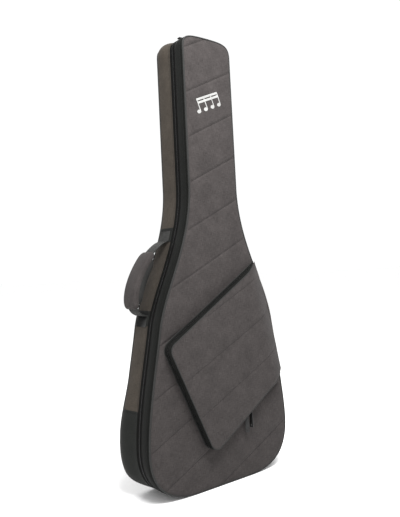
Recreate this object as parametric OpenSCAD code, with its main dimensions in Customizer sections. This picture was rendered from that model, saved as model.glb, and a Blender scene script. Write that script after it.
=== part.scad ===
// Padded gig bag, standing upright on its base.
// X runs across the bag, +Y points to its back and +Z up. The origin is the middle of the base.
// All sizes are in millimetres.

/* [Bag outline] */
// Height of the bag from its base to the top of the head
bag_length = 1050; // [960:10:1200]
// Widest width, across the lower part
bag_width = 416; // [380:4:450]
// Width of the neck and head
neck_width = 140; // [124:2:160]
// Depth between the front seam and the rear seam
bag_depth = 106; // [94:2:126]
// Width of the flat base that the bag stands on
base_width = 140; // [100:10:160]
// Height of the widest line above the base
bout_height = 112; // [96:4:130]
// Height at which the shoulders begin to draw in
shoulder_height = 370; // [350:5:390]
// Width at the start of the shoulders
shoulder_width = 336; // [320:4:350]
// Height at which the neck becomes straight
neck_height = 690; // [670:5:720]
// Height of the rounded corners of the head
head_corner = 32; // [24:2:40]

/* [Layers] */
// Thickness of the woven outer cloth and the nylon gussets
cloth = 1.5; // [1:0.1:2]
// Thickness of the foam padding
foam = 10; // [6:0.5:12]
// Thickness of the lining
lining = 0.8; // [0.6:0.1:1]
// Size of the piping along both seams
piping = 3; // [2.5:0.1:4]
// Depth of the padded rear wall, from the rear seam to the zip tape
wall_depth = 54; // [46:1:60]

/* [Main zip] */
// Width of one zip tape
tape_width = 9.6; // [8:0.2:12]
// Thickness of a zip tape
tape_thick = 1; // [0.8:0.1:1.2]
// Width of one row of teeth
teeth_width = 1.8; // [1.6:0.1:2.2]

/* [Pocket] */
// Rise of the pocket's upper and lower edges, in degrees
pocket_rise = 32.4; // [30:0.2:34]
// Lean of the fold beside the right seam, in degrees from upright
fold_lean = 15.6; // [14:0.2:17]
// Slope of the pocket's left edge, in degrees from upright
pocket_left_lean = 24.5; // [22:0.5:27]
// Left corner of the pocket, across from the middle of the bag
pocket_left = 164; // [150:2:166]
// Height of that corner above the base
pocket_left_height = 337; // [330:1:345]
// Length of the pocket's left edge
pocket_left_length = 274; // [250:2:282]
// Distance of the fold from the middle of the bag, at the pocket's lower edge
fold_half = 188; // [184:1:189]
// Radius of the pocket's rounded corners
pocket_corner = 20; // [14:1:26]
// Height of the pocket's face above the front panel
pocket_depth = 29; // [22:0.5:32]
// Width of the slope between the pocket's face and its fold
pocket_slope = 46; // [36:1:60]
// Thickness of the pocket's padding
pocket_foam = 5; // [3:0.5:6]
// Place of the pocket's sliders along its lower edge, from the fold
pocket_slider_place = 145; // [120:1:160]
// Distance between the two sliders of a zip, from middle to middle
slider_pitch = 17; // [15:0.5:24]

/* [Sliders and pulls] */
// Length of a slider along its zip
slider_length = 9; // [8:0.5:10]
// Width of a slider across its zip
slider_width = 9; // [8:0.5:10]
// Thickness of a slider's plate
slider_plate = 2; // [1.6:0.1:2.4]
// Radius of the bar that a pull turns on
pull_bar = 0.9; // [0.7:0.1:1]
// Thickness of a pull's moulded tab
tab_thick = 2.2; // [1.8:0.1:2.6]
// Length of a pull, from its hinge to its end
pull_length = 42; // [30:1:48]
// Width of a pull's moulded tab
pull_width = 9; // [7:0.5:10]

/* [Side handle] */
// Height of the handle's upper end above the base
handle_top = 575; // [565:1:585]
// Height of the handle's lower end above the base
handle_bottom = 404; // [396:1:412]
// Width of the handle's webbing
handle_webbing = 38; // [30:1:44]
// Thickness of the webbing
webbing = 2.4; // [1.8:0.1:3]
// Outer thickness of the padded sleeve
sleeve_thick = 20; // [16:0.5:22]
// Outer width of the padded sleeve
sleeve_width = 44; // [42:1:48]
// Distance of the handle behind the middle of the bag's depth
handle_back = 23; // [22:0.5:25]
// How far the handle swings to each side, in degrees
handle_swing = 25; // [10:1:30]

/* [Back and inside] */
// Width of a shoulder strap's pad
strap_width = 54; // [46:1:58]
// Thickness of a shoulder strap's pad
strap_thick = 10; // [8:0.5:12]
// Width of the shoulder straps' webbing
strap_webbing = 25; // [20:1:30]
// Height of the upper end of the shoulder straps
strap_top = 640; // [630:5:655]
// Height of the lower end of the shoulder straps
strap_bottom = 150; // [140:5:165]
// How far a shoulder strap stands off the back at its middle
strap_rise = 14; // [12:1:24]
// Width of the hang loop
loop_width = 25; // [20:1:30]
// Height of the neck rest above the base
cradle_height = 780; // [760:5:820]
// Radius of the neck rest's hollow
cradle_radius = 29; // [25:1:32]

/* [Hidden] */

heather = [0.40, 0.38, 0.38];
heather_dark = [0.34, 0.31, 0.28];
nylon = [0.20, 0.20, 0.19];
nylon_deep = [0.13, 0.13, 0.12];
grey_foam = [0.55, 0.55, 0.56];
plush = [0.30, 0.30, 0.33];
thread_white = [0.93, 0.93, 0.92];
black_metal = [0.10, 0.10, 0.10];

// Gap between two pieces sewn to each other
seam_gap = 0.2;
// Gap between two pieces that move against each other
run_gap = 0.3;
// How far a cutting solid runs past what it cuts
past = 1;
rear = bag_depth/2;
front = -bag_depth/2;
neck_half = neck_width/2;
bout_half = bag_width/2;
shoulder_half = shoulder_width/2;

// ---------- plane curves ----------
function unit(v) = v/norm(v);
function left_of(v) = [-v.y, v.x];
function bezier(a, b, c, d, n) = [for (i = [1:n]) let (t = i/n, s = 1 - t)
    s*s*s*a + 3*s*s*t*b + 3*s*t*t*c + t*t*t*d];
// Right half of the outline in the XZ plane, from the base to the middle of the top.
// Each curve runs between two driving sizes, and its two middle points are its handles.
half_outline = concat(
    [[base_width/2, 0]],
    bezier([base_width/2, 0], [base_width/2 + 60, 0],
        [bout_half - 2, 12], [bout_half, bout_height], 10),
    bezier([bout_half, bout_height], [bout_half, bout_height + 78],
        [shoulder_half + 15, shoulder_height - 80], [shoulder_half, shoulder_height], 6),
    bezier([shoulder_half, shoulder_height], [shoulder_half - 15, shoulder_height + 92],
        [neck_half + 4, neck_height - 134], [neck_half, neck_height], 12),
    [[neck_half, bag_length - head_corner]],
    bezier([neck_half, bag_length - head_corner], [neck_half, bag_length - head_corner/4],
        [neck_half - 18, bag_length - 1.5], [0, bag_length], 8));
outline = concat(half_outline,
    [for (i = [len(half_outline) - 2:-1:0]) [-half_outline[i].x, half_outline[i].y]]);
// Half width of the bag at a height
function half_at(z) = lookup(z, [for (p = half_outline) [p.y, p.x]]);
// A closed outline drawn in by d, with mitred corners
function inset(points, d) = let (n = len(points)) [for (i = [0:n - 1]) let (
    a = left_of(unit(points[i] - points[(i + n - 1)%n])),
    b = left_of(unit(points[(i + 1)%n] - points[i]))) points[i] + d*(a + b)/(1 + a*b)];
// A band of even thickness along an open curve
function along(path, i) = let (n = len(path))
    left_of(unit(path[min(i + 1, n - 1)] - path[max(i - 1, 0)]));
function band(path, thick) = let (n = len(path)) concat(
    [for (i = [0:n - 1]) path[i] - along(path, i)*thick/2],
    [for (i = [n - 1:-1:0]) path[i] + along(path, i)*thick/2]);

// ---------- solids from plane curves ----------
// An outline in the XZ plane, from depth y0 to depth y1
module prism(points, y0, y1) translate([0, y1, 0]) rotate([90, 0, 0])
    linear_extrude(y1 - y0) polygon(points);
// A wall that follows an outline, between the insets d0 and d1
module wall(points, d0, d1, y0, y1) difference() {
    prism(inset(points, d0), y0, y1);
    prism(inset(points, d1), y0 - past, y1 + past);
}
module rim(d0, d1, y0, y1) wall(outline, d0, d1, y0, y1);
// A block that keeps one side of the bag between two heights: side is -1 left, 1 right, 0 both
module zone(z0, z1, side = 0) translate([side == 1 ? 0 : -bag_width, -bag_depth, z0])
    cube([side == 0 ? 2*bag_width : bag_width, 2*bag_depth, z1 - z0]);

// ---------- rear shell ----------
wall_front = rear - wall_depth;
wall_rear = rear - piping - seam_gap;
// Depth of the zip tapes below the outer cloth
tape_inset = 0.25;
tape_front = wall_front - seam_gap - tape_width;
teeth_front = tape_front - teeth_width;
foam_in = cloth + seam_gap + foam;
lining_in = foam_in + seam_gap + lining;
foam_front = wall_front - tape_width;
boot_top = 197;
patch_height = 33;
upper_patch_low = handle_top - 4;
lower_patch_low = handle_bottom - 22;
// Heights of the fabric fold that the lid turns on
fold_low = 64;
fold_high = 190;

module back_panel() color(heather)
    prism(inset(outline, piping + seam_gap), rear - cloth, rear);
module back_foam() color(grey_foam) prism(inset(outline, foam_in + seam_gap),
    rear - cloth - seam_gap - foam, rear - cloth - seam_gap);
module back_lining() color(plush) prism(inset(outline, lining_in + seam_gap),
    rear - foam_in - seam_gap - lining, rear - foam_in - seam_gap);
module wall_skin() rim(0, cloth, wall_front, wall_rear);
module main_side_wall() color(heather_dark) intersection() {
    wall_skin();
    union() {
        zone(boot_top + seam_gap, bag_length + past, 1);
        zone(upper_patch_low + patch_height + seam_gap, bag_length + past, -1);
    }
}
module handle_side_wall() color(heather_dark) intersection() {
    wall_skin();
    zone(lower_patch_low + patch_height + seam_gap, upper_patch_low - seam_gap, -1);
}
module lower_side_wall() color(heather_dark) intersection() {
    wall_skin();
    zone(boot_top + seam_gap, lower_patch_low - seam_gap, -1);
}
module handle_patch(z) color(nylon) intersection() {
    wall_skin();
    zone(z, z + patch_height, -1);
}
module base_boot() color(nylon) intersection() {
    wall_skin();
    zone(-past, boot_top);
}
module side_wall_foam() color(grey_foam)
    rim(cloth + seam_gap, foam_in, foam_front, wall_rear);
module side_wall_lining() color(plush)
    rim(foam_in + seam_gap, lining_in, foam_front, rear - foam_in - seam_gap);
module rear_piping() color(nylon_deep) rim(0, piping, rear - piping, rear);
// The part of a rim that the zip follows: all but the fold of the lid
module zipped() difference() {
    children();
    zone(fold_low, fold_high, 1);
}
module rear_zip_tape() color(nylon_deep) zipped()
    rim(tape_inset, tape_inset + tape_thick, tape_front, wall_front - seam_gap);
module rear_zip_teeth() color(black_metal) zipped()
    rim(0, 2*tape_thick, teeth_front, tape_front);
module lid_fold_tape() color(nylon) intersection() {
    rim(0, cloth, teeth_front, wall_front - seam_gap);
    zone(fold_low + seam_gap, fold_high - seam_gap, 1);
}

// ---------- lid ----------
lid_teeth_rear = teeth_front - run_gap;
lid_teeth_front = lid_teeth_rear - teeth_width;
// The gusset covers the rest of the lid's tape
lid_tape_shown = tape_width*2/3;
lid_tape_front = lid_teeth_front - lid_tape_shown;
gusset_rear = lid_tape_front - seam_gap;
gusset_front = front + piping + seam_gap;
lid_foam_rear = front + cloth + seam_gap + foam;
lid_lining_rear = lid_foam_rear + seam_gap + lining;

module front_panel() color(heather) prism(inset(outline, piping + seam_gap), front, front + cloth);
module front_foam() color(grey_foam)
    prism(inset(outline, piping + seam_gap), front + cloth + seam_gap, lid_foam_rear);
module front_lining() color(plush)
    prism(inset(outline, piping + seam_gap), lid_foam_rear + seam_gap, lid_lining_rear);
module lid_gusset() color(nylon) union() {
    rim(0, cloth, gusset_front, gusset_rear);
    intersection() {
        rim(0, cloth, gusset_rear - cloth, lid_teeth_rear);
        zone(fold_low + seam_gap, fold_high - seam_gap, 1);
    }
}
module lid_gusset_lining() color(plush)
    rim(cloth + seam_gap, cloth + seam_gap + lining, gusset_front + cloth, gusset_rear);
module lid_zip_tape() color(nylon_deep) zipped()
    rim(tape_inset, tape_inset + tape_thick, lid_tape_front, lid_teeth_front);
module lid_zip_teeth() color(black_metal) zipped()
    rim(0, 2*tape_thick, lid_teeth_front, lid_teeth_rear);
module front_piping() color(nylon_deep) rim(0, piping, front, front + piping);

// Embroidered motif on the head: a run of four beamed notes, rising to the right
emblem_height = 884;
emblem_rise = 22;
note_pitch = 22;
note_stem = 30;
note_head = [6.2, 4.4];
stroke = 2.6;
thread_thick = 0.6;
function oval(at, size, n = 16) = [for (i = [0:n - 1])
    at + [size.x*cos(i*360/n), size.y*sin(i*360/n)]];
module note(x) {
    prism(oval([x - note_head.x + stroke/2, 0], note_head), front - thread_thick, front);
    translate([x - stroke/2, front - thread_thick, 0]) cube([stroke, thread_thick, note_stem]);
}
module emblem() color(thread_white) translate([0, 0, emblem_height])
    rotate([0, -emblem_rise, 0]) union() {
        for (i = [0:3]) note((i - 1.5)*note_pitch + note_head.x/2);
        for (z = [note_stem - 2*stroke, note_stem - 5*stroke])
            translate([-1.5*note_pitch + note_head.x/2, front - thread_thick, z])
                cube([3*note_pitch, thread_thick, 2*stroke]);
    }
// Small folded tab caught in the front seam beside the head
tab_size = [4.5, 1.6, 15];
tab_height = 906;
module seam_tab() color(nylon_deep)
    translate([neck_half + seam_gap, front + piping, tab_height]) cube(tab_size);

// ---------- pocket ----------
rise = [cos(pocket_rise), sin(pocket_rise)];
left_edge = [sin(pocket_left_lean), -cos(pocket_left_lean)];
fold_up = [-sin(fold_lean), cos(fold_lean)];
pocket_a = [-pocket_left, pocket_left_height];
pocket_b = pocket_a + pocket_left_length*left_edge;
// Crossing of two lines, each given by a point and a direction
function cross_point(p, u, q, v) = p + u*((q - p)*left_of(v))/(u*left_of(v));
fold_at = [fold_half, 240];
fold_foot = cross_point(pocket_b, rise, fold_at, fold_up);
fold_head = cross_point(pocket_a, rise, fold_at, fold_up);
// A corner between two edges, rounded by an arc
function rounded(before, at, after, r, n = 6) = let (
    u = unit(before - at), v = unit(after - at),
    half = acos(u*v)/2, mid = at + unit(u + v)*r/sin(half),
    start = at + u*r/tan(half) - mid, turn = 180 - 2*half)
    [for (i = [0:n]) let (a = i*turn/n)
        mid + [start.x*cos(a) - start.y*sin(a), start.x*sin(a) + start.y*cos(a)]];
pocket_outline = concat([fold_foot, fold_head],
    rounded(fold_head, pocket_a, pocket_b, pocket_corner),
    rounded(pocket_a, pocket_b, fold_foot, pocket_corner));
// Depths: the fold's axis, the pocket's face and the two halves of its zip
fold_lift = 3;
fold_y = front - fold_lift;
face_y = front - pocket_depth;
half_zip = 1.4;
zip_mid = front - pocket_depth/2;
skin_at_fold = fold_y - fold_lift + 0.4;
// A solid with an even section along the fold: points are [distance from the fold, depth]
module folded(points) translate([fold_foot.x, 0, fold_foot.y]) rotate([0, -fold_lean, 0])
    translate([0, 0, -bag_width]) linear_extrude(3*bag_width)
        polygon([for (p = points) [-p.x, p.y]]);
flap_start = 1;
// Depth of the outer side of the pocket's face, at a distance from the fold
function face_at(u) = skin_at_fold
    + (face_y - skin_at_fold)*(u - flap_start)/(pocket_slope - flap_start);
// The room behind the outer side of the pocket's face, less the depth d, past the distance u
module behind_face(d, u) folded([[u, front - seam_gap], [u, face_at(u) + d],
    [pocket_slope, face_y + d], [bag_width, face_y + d], [bag_width, front - seam_gap]]);
// A layer of the pocket's face between the depths d0 and d1, which starts at the distance u
module face_layer(edge, d0, d1, u, d2) intersection() {
    prism(inset(pocket_outline, edge), face_y - past, front);
    folded([[u, face_at(u) + d0], [pocket_slope, face_y + d0], [bag_width, face_y + d0],
        [bag_width, face_y + d1], [pocket_slope, face_y + d1], [u, face_at(u) + d2]]);
}
padding_start = 14;
// Thickness of the padding where it begins
padding_edge = 0.5;
padding_in = cloth + seam_gap + pocket_foam;
lining_edge = cloth + 2*seam_gap;
// Distance from the fold at which the fixed half of the pocket's side wall begins
gusset_start = 5;

module pocket_gusset() color(nylon) intersection() {
    wall(pocket_outline, 0, cloth, zip_mid + half_zip + seam_gap, front - seam_gap);
    behind_face(cloth + run_gap, gusset_start);
}
module pocket_zip_tape() color(nylon_deep) intersection() {
    wall(pocket_outline, 0, tape_thick, zip_mid + run_gap/2, zip_mid + half_zip + seam_gap);
    behind_face(cloth + run_gap, gusset_start);
}
// Part of the pocket's face between the fold and the right seam, which doesn't open
module pocket_side_strip() color(heather) intersection() {
    prism(outline, fold_y, front - seam_gap);
    prism([fold_foot + seam_gap*rise, fold_foot + bag_width*rise,
        fold_head + bag_width*rise, fold_head + seam_gap*rise], -bag_depth, 0);
}
module pocket_panel() color(heather) face_layer(seam_gap, 0, cloth, flap_start, cloth);
module pocket_padding() color(grey_foam) face_layer(lining_edge, cloth + seam_gap, padding_in,
    padding_start, cloth + seam_gap + padding_edge);
module pocket_lining() color(plush) face_layer(lining_edge, padding_in + seam_gap,
    padding_in + seam_gap + lining, pocket_slope, padding_in + seam_gap + lining);
module pocket_flap_gusset() color(nylon) intersection() {
    wall(pocket_outline, 0, cloth, face_y + cloth + seam_gap, zip_mid - half_zip - seam_gap);
    behind_face(cloth + seam_gap, flap_start);
}
module pocket_flap_zip_tape() color(nylon_deep) intersection() {
    wall(pocket_outline, 0, tape_thick, zip_mid - half_zip - seam_gap, zip_mid - run_gap/2);
    behind_face(cloth + seam_gap, flap_start);
}

// ---------- sliders and pulls ----------
// Height of a pull's bar over the slider's plate
bar_height = 2.2;
bridge_width = 2;
bridge_leg = 1;
bridge_top = bar_height + pull_bar + run_gap;
eye_width = bridge_width + 1;
eye_length = 6;
arm_width = 1.5;
bar_out = run_gap + slider_plate + bar_height;
// How far a slider's bridge and plate run into each other
bite = 0.1;
// Slider on a zip that runs along Z, with its plate facing +X
module slider() color(black_metal) union() {
    translate([run_gap, -slider_width/2, -slider_length/2])
        cube([slider_plate, slider_width, slider_length]);
    translate([run_gap + slider_plate - bite, -bridge_width/2, -slider_length/2])
        difference() {
            cube([bridge_top + bridge_leg + bite, bridge_width, slider_length]);
            translate([bite, -past, bridge_leg])
                cube([bridge_top, bridge_width + 2*past, slider_length - 2*bridge_leg]);
        }
}
arm_thick = 1.6*pull_bar;
pull_outer = eye_width + 2*arm_width;
foot_height = 3;
tab_hole = [2.4, 4];
// Pull that hangs from a bar along Y at the origin; its tab is turned by twist degrees
module pull(twist = 0) color(black_metal) union() {
    translate([0, pull_outer/2, 0]) rotate([90, 0, 0])
        cylinder(h = pull_outer, r = pull_bar, $fn = 24);
    for (side = [-1, 1]) translate([-arm_thick/2, side*(eye_width + arm_width)/2
        - arm_width/2, -eye_length - bite]) cube([arm_thick, arm_width, eye_length + bite]);
    translate([-arm_thick/2, -pull_outer/2, -eye_length - foot_height])
        cube([arm_thick, pull_outer, foot_height]);
    rotate([0, 0, twist]) difference() {
        translate([-tab_thick/2, -pull_width/2, -pull_length])
            cube([tab_thick, pull_width, pull_length - eye_length - foot_height/2]);
        translate([-tab_thick, -tab_hole.x/2, -pull_length + foot_height])
            cube([2*tab_thick, tab_hole.x, tab_hole.y]);
    }
}
// Main zip: two sliders that meet on top of the head
zip_y = teeth_front - run_gap/2;
module main_slider(side) translate([side*slider_pitch/2, zip_y, bag_length])
    rotate([0, -90, 0]) slider();
module main_pull(side) translate([side*slider_pitch/2, zip_y, bag_length + bar_out])
    rotate([0, -90*side, 0]) pull();
// Pocket zip: two sliders that meet on the lower edge, with their pulls hanging
function pocket_slider_at(side) = fold_foot
    - (pocket_slider_place - side*slider_pitch/2)*rise;
edge_out = [sin(pocket_rise), -cos(pocket_rise)];
function pocket_bar_at(side) = pocket_slider_at(side) + bar_out*edge_out;
module pocket_slider(side)
    translate([pocket_slider_at(side).x, zip_mid, pocket_slider_at(side).y])
        rotate([0, 90 - pocket_rise, 0]) slider();
module pocket_pull(side, twist)
    translate([pocket_bar_at(side).x, zip_mid, pocket_bar_at(side).y]) pull(twist);

// ---------- side handle ----------
handle_head = [-half_at(handle_top), handle_top];
handle_foot = [-half_at(handle_bottom), handle_bottom];
handle_run = norm(handle_foot - handle_head);
handle_dir = (handle_foot - handle_head)/handle_run;
// Height of the swing axis over the line between the handle's ends
swing_height = 8;
// The bow's two middle handles: it stands off further, and droops, towards its lower end
bow_upper = [52, 35];
bow_lower = [74, handle_run + 18];
// The handle's bow: points are [height over that line, distance along it]
function bow(t0, t1, n) = [for (i = [0:n]) let (t = t0 + (t1 - t0)*i/n, s = 1 - t)
    3*s*s*t*bow_upper + 3*s*t*t*bow_lower + t*t*t*[0, handle_run]];
module at_handle() translate([handle_head.x, handle_back, handle_head.y])
    rotate([0, atan2(handle_dir.x, handle_dir.y), 0]) children();
// Notch that lets the moving webbing swing over its fixed ends
module swing_notch(drop) translate([0, 0, -bag_width]) linear_extrude(3*bag_width)
    polygon([[swing_height + drop, 0],
        [swing_height + drop + handle_webbing*tan(handle_swing), handle_webbing],
        [-bag_width, handle_webbing], [-bag_width, -handle_webbing],
        [swing_height + drop + handle_webbing*tan(handle_swing), -handle_webbing]]);
// Sewn foot of the webbing below each of the handle's ends
foot_high = 26;
foot_over = [2, 24];
module handle_end_stubs() color(nylon) difference() {
    union() {
        at_handle() intersection() {
            prism(band(bow(0, 1, 40), webbing), -handle_webbing/2, handle_webbing/2);
            translate([-webbing, -handle_webbing, -webbing])
                cube([swing_height + webbing, 2*handle_webbing, handle_run + handle_webbing]);
        }
        for (z = [handle_top - foot_over[0], handle_bottom - foot_over[1]]) intersection() {
            rim(-seam_gap - webbing, -seam_gap,
                handle_back - handle_webbing/2, handle_back + handle_webbing/2);
            zone(z, z + foot_high, -1);
        }
    }
    prism(inset(outline, -seam_gap), -bag_depth, bag_depth);
}
module handle_strap() color(nylon) at_handle() difference() {
    prism(band(bow(0, 1, 40), webbing), -handle_webbing/2, handle_webbing/2);
    swing_notch(run_gap);
}
// Stretch of the bow that the padded sleeve covers
sleeve_from = 0.27;
sleeve_to = 0.76;
sleeve_past = 0.02;
module sleeve_shell(grow, width) prism(band(bow(sleeve_from, sleeve_to, 14), grow),
    -width/2, width/2);
module handle_core() color(grey_foam) at_handle() difference() {
    sleeve_shell(sleeve_thick - 2*(cloth + seam_gap), sleeve_width - 2*(cloth + seam_gap));
    prism(band(bow(sleeve_from - 4*sleeve_past, sleeve_to + 4*sleeve_past, 26),
        webbing + 2*seam_gap),
        -handle_webbing/2 - seam_gap, handle_webbing/2 + seam_gap);
}
module handle_sleeve() color(heather) at_handle() difference() {
    sleeve_shell(sleeve_thick, sleeve_width);
    prism(band(bow(sleeve_from - sleeve_past, sleeve_to + sleeve_past, 16), sleeve_thick - 2*cloth),
        cloth - sleeve_width/2, sleeve_width/2 - cloth);
}

// ---------- shoulder straps ----------
strap_head_x = 27;
strap_foot_x = 140;
strap_run = norm([strap_foot_x - strap_head_x, strap_top - strap_bottom]);
strap_lean = atan2(strap_foot_x - strap_head_x, strap_top - strap_bottom);
// Height of the straps' swing axis over the back
strap_axis = 6;
strap_margin = 8;
// The strap's bow: points are [height over the back, distance from its upper end]
function strap_bow(s0, s1, n) = [for (i = [0:n]) let (s = s0 + (s1 - s0)*i/n)
    [strap_axis + strap_rise*sin(180*s/strap_run), s]];
module at_strap(side) translate([side*strap_head_x, rear, strap_top])
    rotate([0, 180 - side*strap_lean, 0]) children();
// A plate with its section in the YZ plane, of a width across X
module across(points, width) translate([-width/2, 0, 0]) rotate([90, 0, 90])
    linear_extrude(width) polygon(points);
pad_from = 60;
pad_to = strap_run*0.62;
lock_length = 26;
lock_plate = 3;
lock_gap = 3;
lock_rim = 4;
lock_slot = 7;
module strap_pad(side) color(nylon) at_strap(side)
    across([for (p = band(strap_bow(pad_from, pad_to, 12), strap_thick))
        p + [strap_thick/2 + webbing/2 + seam_gap, 0]], strap_width);
module strap_webbing_piece(side) color(nylon_deep) at_strap(side)
    across(band(strap_bow(strap_margin + run_gap, strap_run - strap_margin - run_gap, 20),
        webbing), strap_webbing);
module ladder_lock(side) color(black_metal) at_strap(side)
    translate([0, strap_axis + webbing/2 + seam_gap
        + strap_rise*sin(180*(pad_to + lock_gap)/strap_run), pad_to + lock_gap]) difference() {
        translate([-strap_webbing/2 - lock_rim, 0, 0])
            cube([strap_webbing + 2*lock_rim, lock_plate, lock_length]);
        for (z = [lock_rim, 2*lock_rim + lock_slot]) translate([-strap_webbing/2 - 0.5, -past, z])
            cube([strap_webbing + 1, lock_plate + 2*past, lock_slot]);
    }
// Fixed ends of the straps
module strap_end(side, s0, s1) at_strap(side) across([[seam_gap, s0], [strap_axis
    + webbing/2, s0], [strap_axis + webbing/2, s1], [seam_gap, s1]], strap_webbing);
patch_rise = 44;
patch_width = 110;
end_run = [14, 24];
module strap_top_patch() color(nylon) union() {
    translate([-patch_width/2, rear + seam_gap, strap_top])
        cube([patch_width, webbing, patch_rise]);
    for (side = [-1, 1]) strap_end(side, -end_run[0], strap_margin);
}
module strap_bottom_tabs() color(nylon)
    for (side = [-1, 1]) strap_end(side, strap_run - strap_margin, strap_run + end_run[1]);

// ---------- hang loop ----------
loop_top = bag_length - 34;
loop_drop = 62;
loop_deep = 13;
loop_clear = 1.2;
// Round-ended outline in the YZ plane
function capsule(y0, y1, z0, z1, n = 8) = let (r = (y1 - y0)/2) concat(
    [for (i = [0:n]) [y0 + r - r*cos(i*180/n), z0 + r - r*sin(i*180/n)]],
    [for (i = [0:n]) [y0 + r + r*cos(i*180/n), z1 - r + r*sin(i*180/n)]]);
loop_y = rear + loop_clear;
module hang_loop() color(nylon_deep) difference() {
    across(capsule(loop_y, loop_y + loop_deep, loop_top - loop_drop, loop_top), loop_width);
    across(capsule(loop_y + webbing, loop_y + loop_deep - webbing,
        loop_top - loop_drop + webbing, loop_top - webbing), loop_width + 2);
}
// Bar of folded webbing through the top of the loop, sewn to the back on both sides
loop_bar = 2.6;
loop_bar_z = loop_top - webbing - run_gap - loop_bar;
loop_foot = [18, 26];
loop_post = 12;
module hang_loop_patch() color(nylon) union() {
    for (side = [-1, 1]) translate([side*(loop_width/2 + 1 + loop_foot.x/2) - loop_foot.x/2,
        rear + seam_gap, loop_bar_z - loop_foot.y/2]) cube([loop_foot.x, webbing, loop_foot.y]);
    translate([-loop_width/2 - loop_post, loop_y + loop_deep/2, loop_bar_z])
        rotate([0, 90, 0]) cylinder(h = loop_width + 2*loop_post, r = loop_bar, $fn = 24);
    for (side = [-1, 1]) translate([side*(loop_width/2 + 2 + loop_post/2) - loop_post/2,
        rear + seam_gap, loop_bar_z - loop_bar])
            cube([loop_post, loop_clear + loop_deep/2, 2*loop_bar]);
}

// ---------- inside ----------
inside_half = neck_half - lining_in - seam_gap;
inside_rear = rear - foam_in - seam_gap - lining - seam_gap;
cradle_length = 70;
cradle_deep = 32;
cradle_front = inside_rear - cradle_deep;
// How far the hollow's middle lies in front of the block
cradle_lift = 6;
module neck_cradle() color(plush) difference() {
    translate([-inside_half, cradle_front, cradle_height])
        cube([2*inside_half, cradle_deep, cradle_length]);
    translate([0, cradle_front - cradle_lift, cradle_height - past])
        cylinder(h = cradle_length + 2*past, r = cradle_radius, $fn = 48);
}
// Two halves of the neck strap: each turns about its outer end and they lap in the middle
strap_pivot = 36;
neck_tape = 1.6;
neck_tape_width = 30;
lap = 8;
module neck_tape_half(side, layer) color(nylon_deep)
    translate([side > 0 ? -lap : -strap_pivot, cradle_front - run_gap
        - (layer + 1)*neck_tape - layer*run_gap, cradle_height + (cradle_length
        - neck_tape_width)/2]) cube([strap_pivot + lap, neck_tape, neck_tape_width]);
pad_size = [110, 15];
pad_forward = 8;
module end_pad() color(plush) translate([-pad_size.x/2, -pad_forward, lining_in + seam_gap])
    cube([pad_size.x, inside_rear + pad_forward, pad_size.y]);

back_panel();
back_foam();
back_lining();
main_side_wall();
handle_side_wall();
lower_side_wall();
handle_patch(upper_patch_low);  // upper_handle_patch
handle_patch(lower_patch_low);  // lower_handle_patch
base_boot();
side_wall_foam();
side_wall_lining();
rear_piping();
rear_zip_tape();
rear_zip_teeth();
lid_fold_tape();
handle_end_stubs();
strap_top_patch();
strap_bottom_tabs();
hang_loop_patch();
end_pad();
neck_cradle();
neck_tape_half(-1, 1);  // neck_strap_hook
neck_tape_half(1, 0);  // neck_strap_loop
front_panel();
front_foam();
front_lining();
lid_gusset();
lid_gusset_lining();
lid_zip_tape();
lid_zip_teeth();
front_piping();
emblem();
seam_tab();
pocket_gusset();
pocket_zip_tape();
pocket_side_strip();
pocket_panel();
pocket_padding();
pocket_lining();
pocket_flap_gusset();
pocket_flap_zip_tape();
main_slider(-1);  // main_slider_left
main_slider(1);  // main_slider_right
main_pull(-1);  // main_pull_left
main_pull(1);  // main_pull_right
pocket_slider(-1);  // pocket_slider_left
pocket_slider(1);  // pocket_slider_right
pocket_pull(-1, 55);  // pocket_pull_left
pocket_pull(1, 8);  // pocket_pull_right
handle_strap();
handle_core();
handle_sleeve();
hang_loop();
strap_pad(-1);  // left_strap_pad
strap_webbing_piece(-1);  // left_strap_webbing
ladder_lock(-1);  // left_ladder_lock
strap_pad(1);  // right_strap_pad
strap_webbing_piece(1);  // right_strap_webbing
ladder_lock(1);  // right_ladder_lock
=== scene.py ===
"""Looks of a padded gig bag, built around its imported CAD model.

Every piece is in metres and in the row's frame: X across the bag, +Y to its back, +Z up.
"""
import logging
import math
from dataclasses import dataclass, field
from enum import Enum
from typing import Callable, Sequence

import bmesh
import bpy
import numpy as np
from mathutils import Matrix, Vector, kdtree, noise
from mathutils.bvhtree import BVHTree


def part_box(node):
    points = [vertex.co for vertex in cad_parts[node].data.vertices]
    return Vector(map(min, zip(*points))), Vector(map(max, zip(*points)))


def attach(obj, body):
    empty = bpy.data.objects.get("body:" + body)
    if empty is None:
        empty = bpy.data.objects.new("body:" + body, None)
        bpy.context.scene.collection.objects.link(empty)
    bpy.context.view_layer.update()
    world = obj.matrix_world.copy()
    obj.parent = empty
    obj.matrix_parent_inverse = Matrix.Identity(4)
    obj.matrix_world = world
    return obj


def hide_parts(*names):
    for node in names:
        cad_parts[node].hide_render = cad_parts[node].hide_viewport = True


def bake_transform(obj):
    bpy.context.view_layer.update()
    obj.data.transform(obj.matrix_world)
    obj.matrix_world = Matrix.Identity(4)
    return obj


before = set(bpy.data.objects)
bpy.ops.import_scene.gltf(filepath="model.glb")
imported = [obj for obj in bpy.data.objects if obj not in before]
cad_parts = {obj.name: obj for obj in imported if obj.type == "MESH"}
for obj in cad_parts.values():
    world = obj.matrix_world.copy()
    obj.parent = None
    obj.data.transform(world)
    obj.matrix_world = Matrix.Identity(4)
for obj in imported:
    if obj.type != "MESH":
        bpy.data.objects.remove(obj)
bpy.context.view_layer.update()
LOG = logging.getLogger("gig_bag")
MM = 0.001
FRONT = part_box("front_panel")[0].y
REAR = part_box("back_panel")[1].y

Points = np.ndarray
Shape = Callable[[Points, Points, Points], Points]


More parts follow.
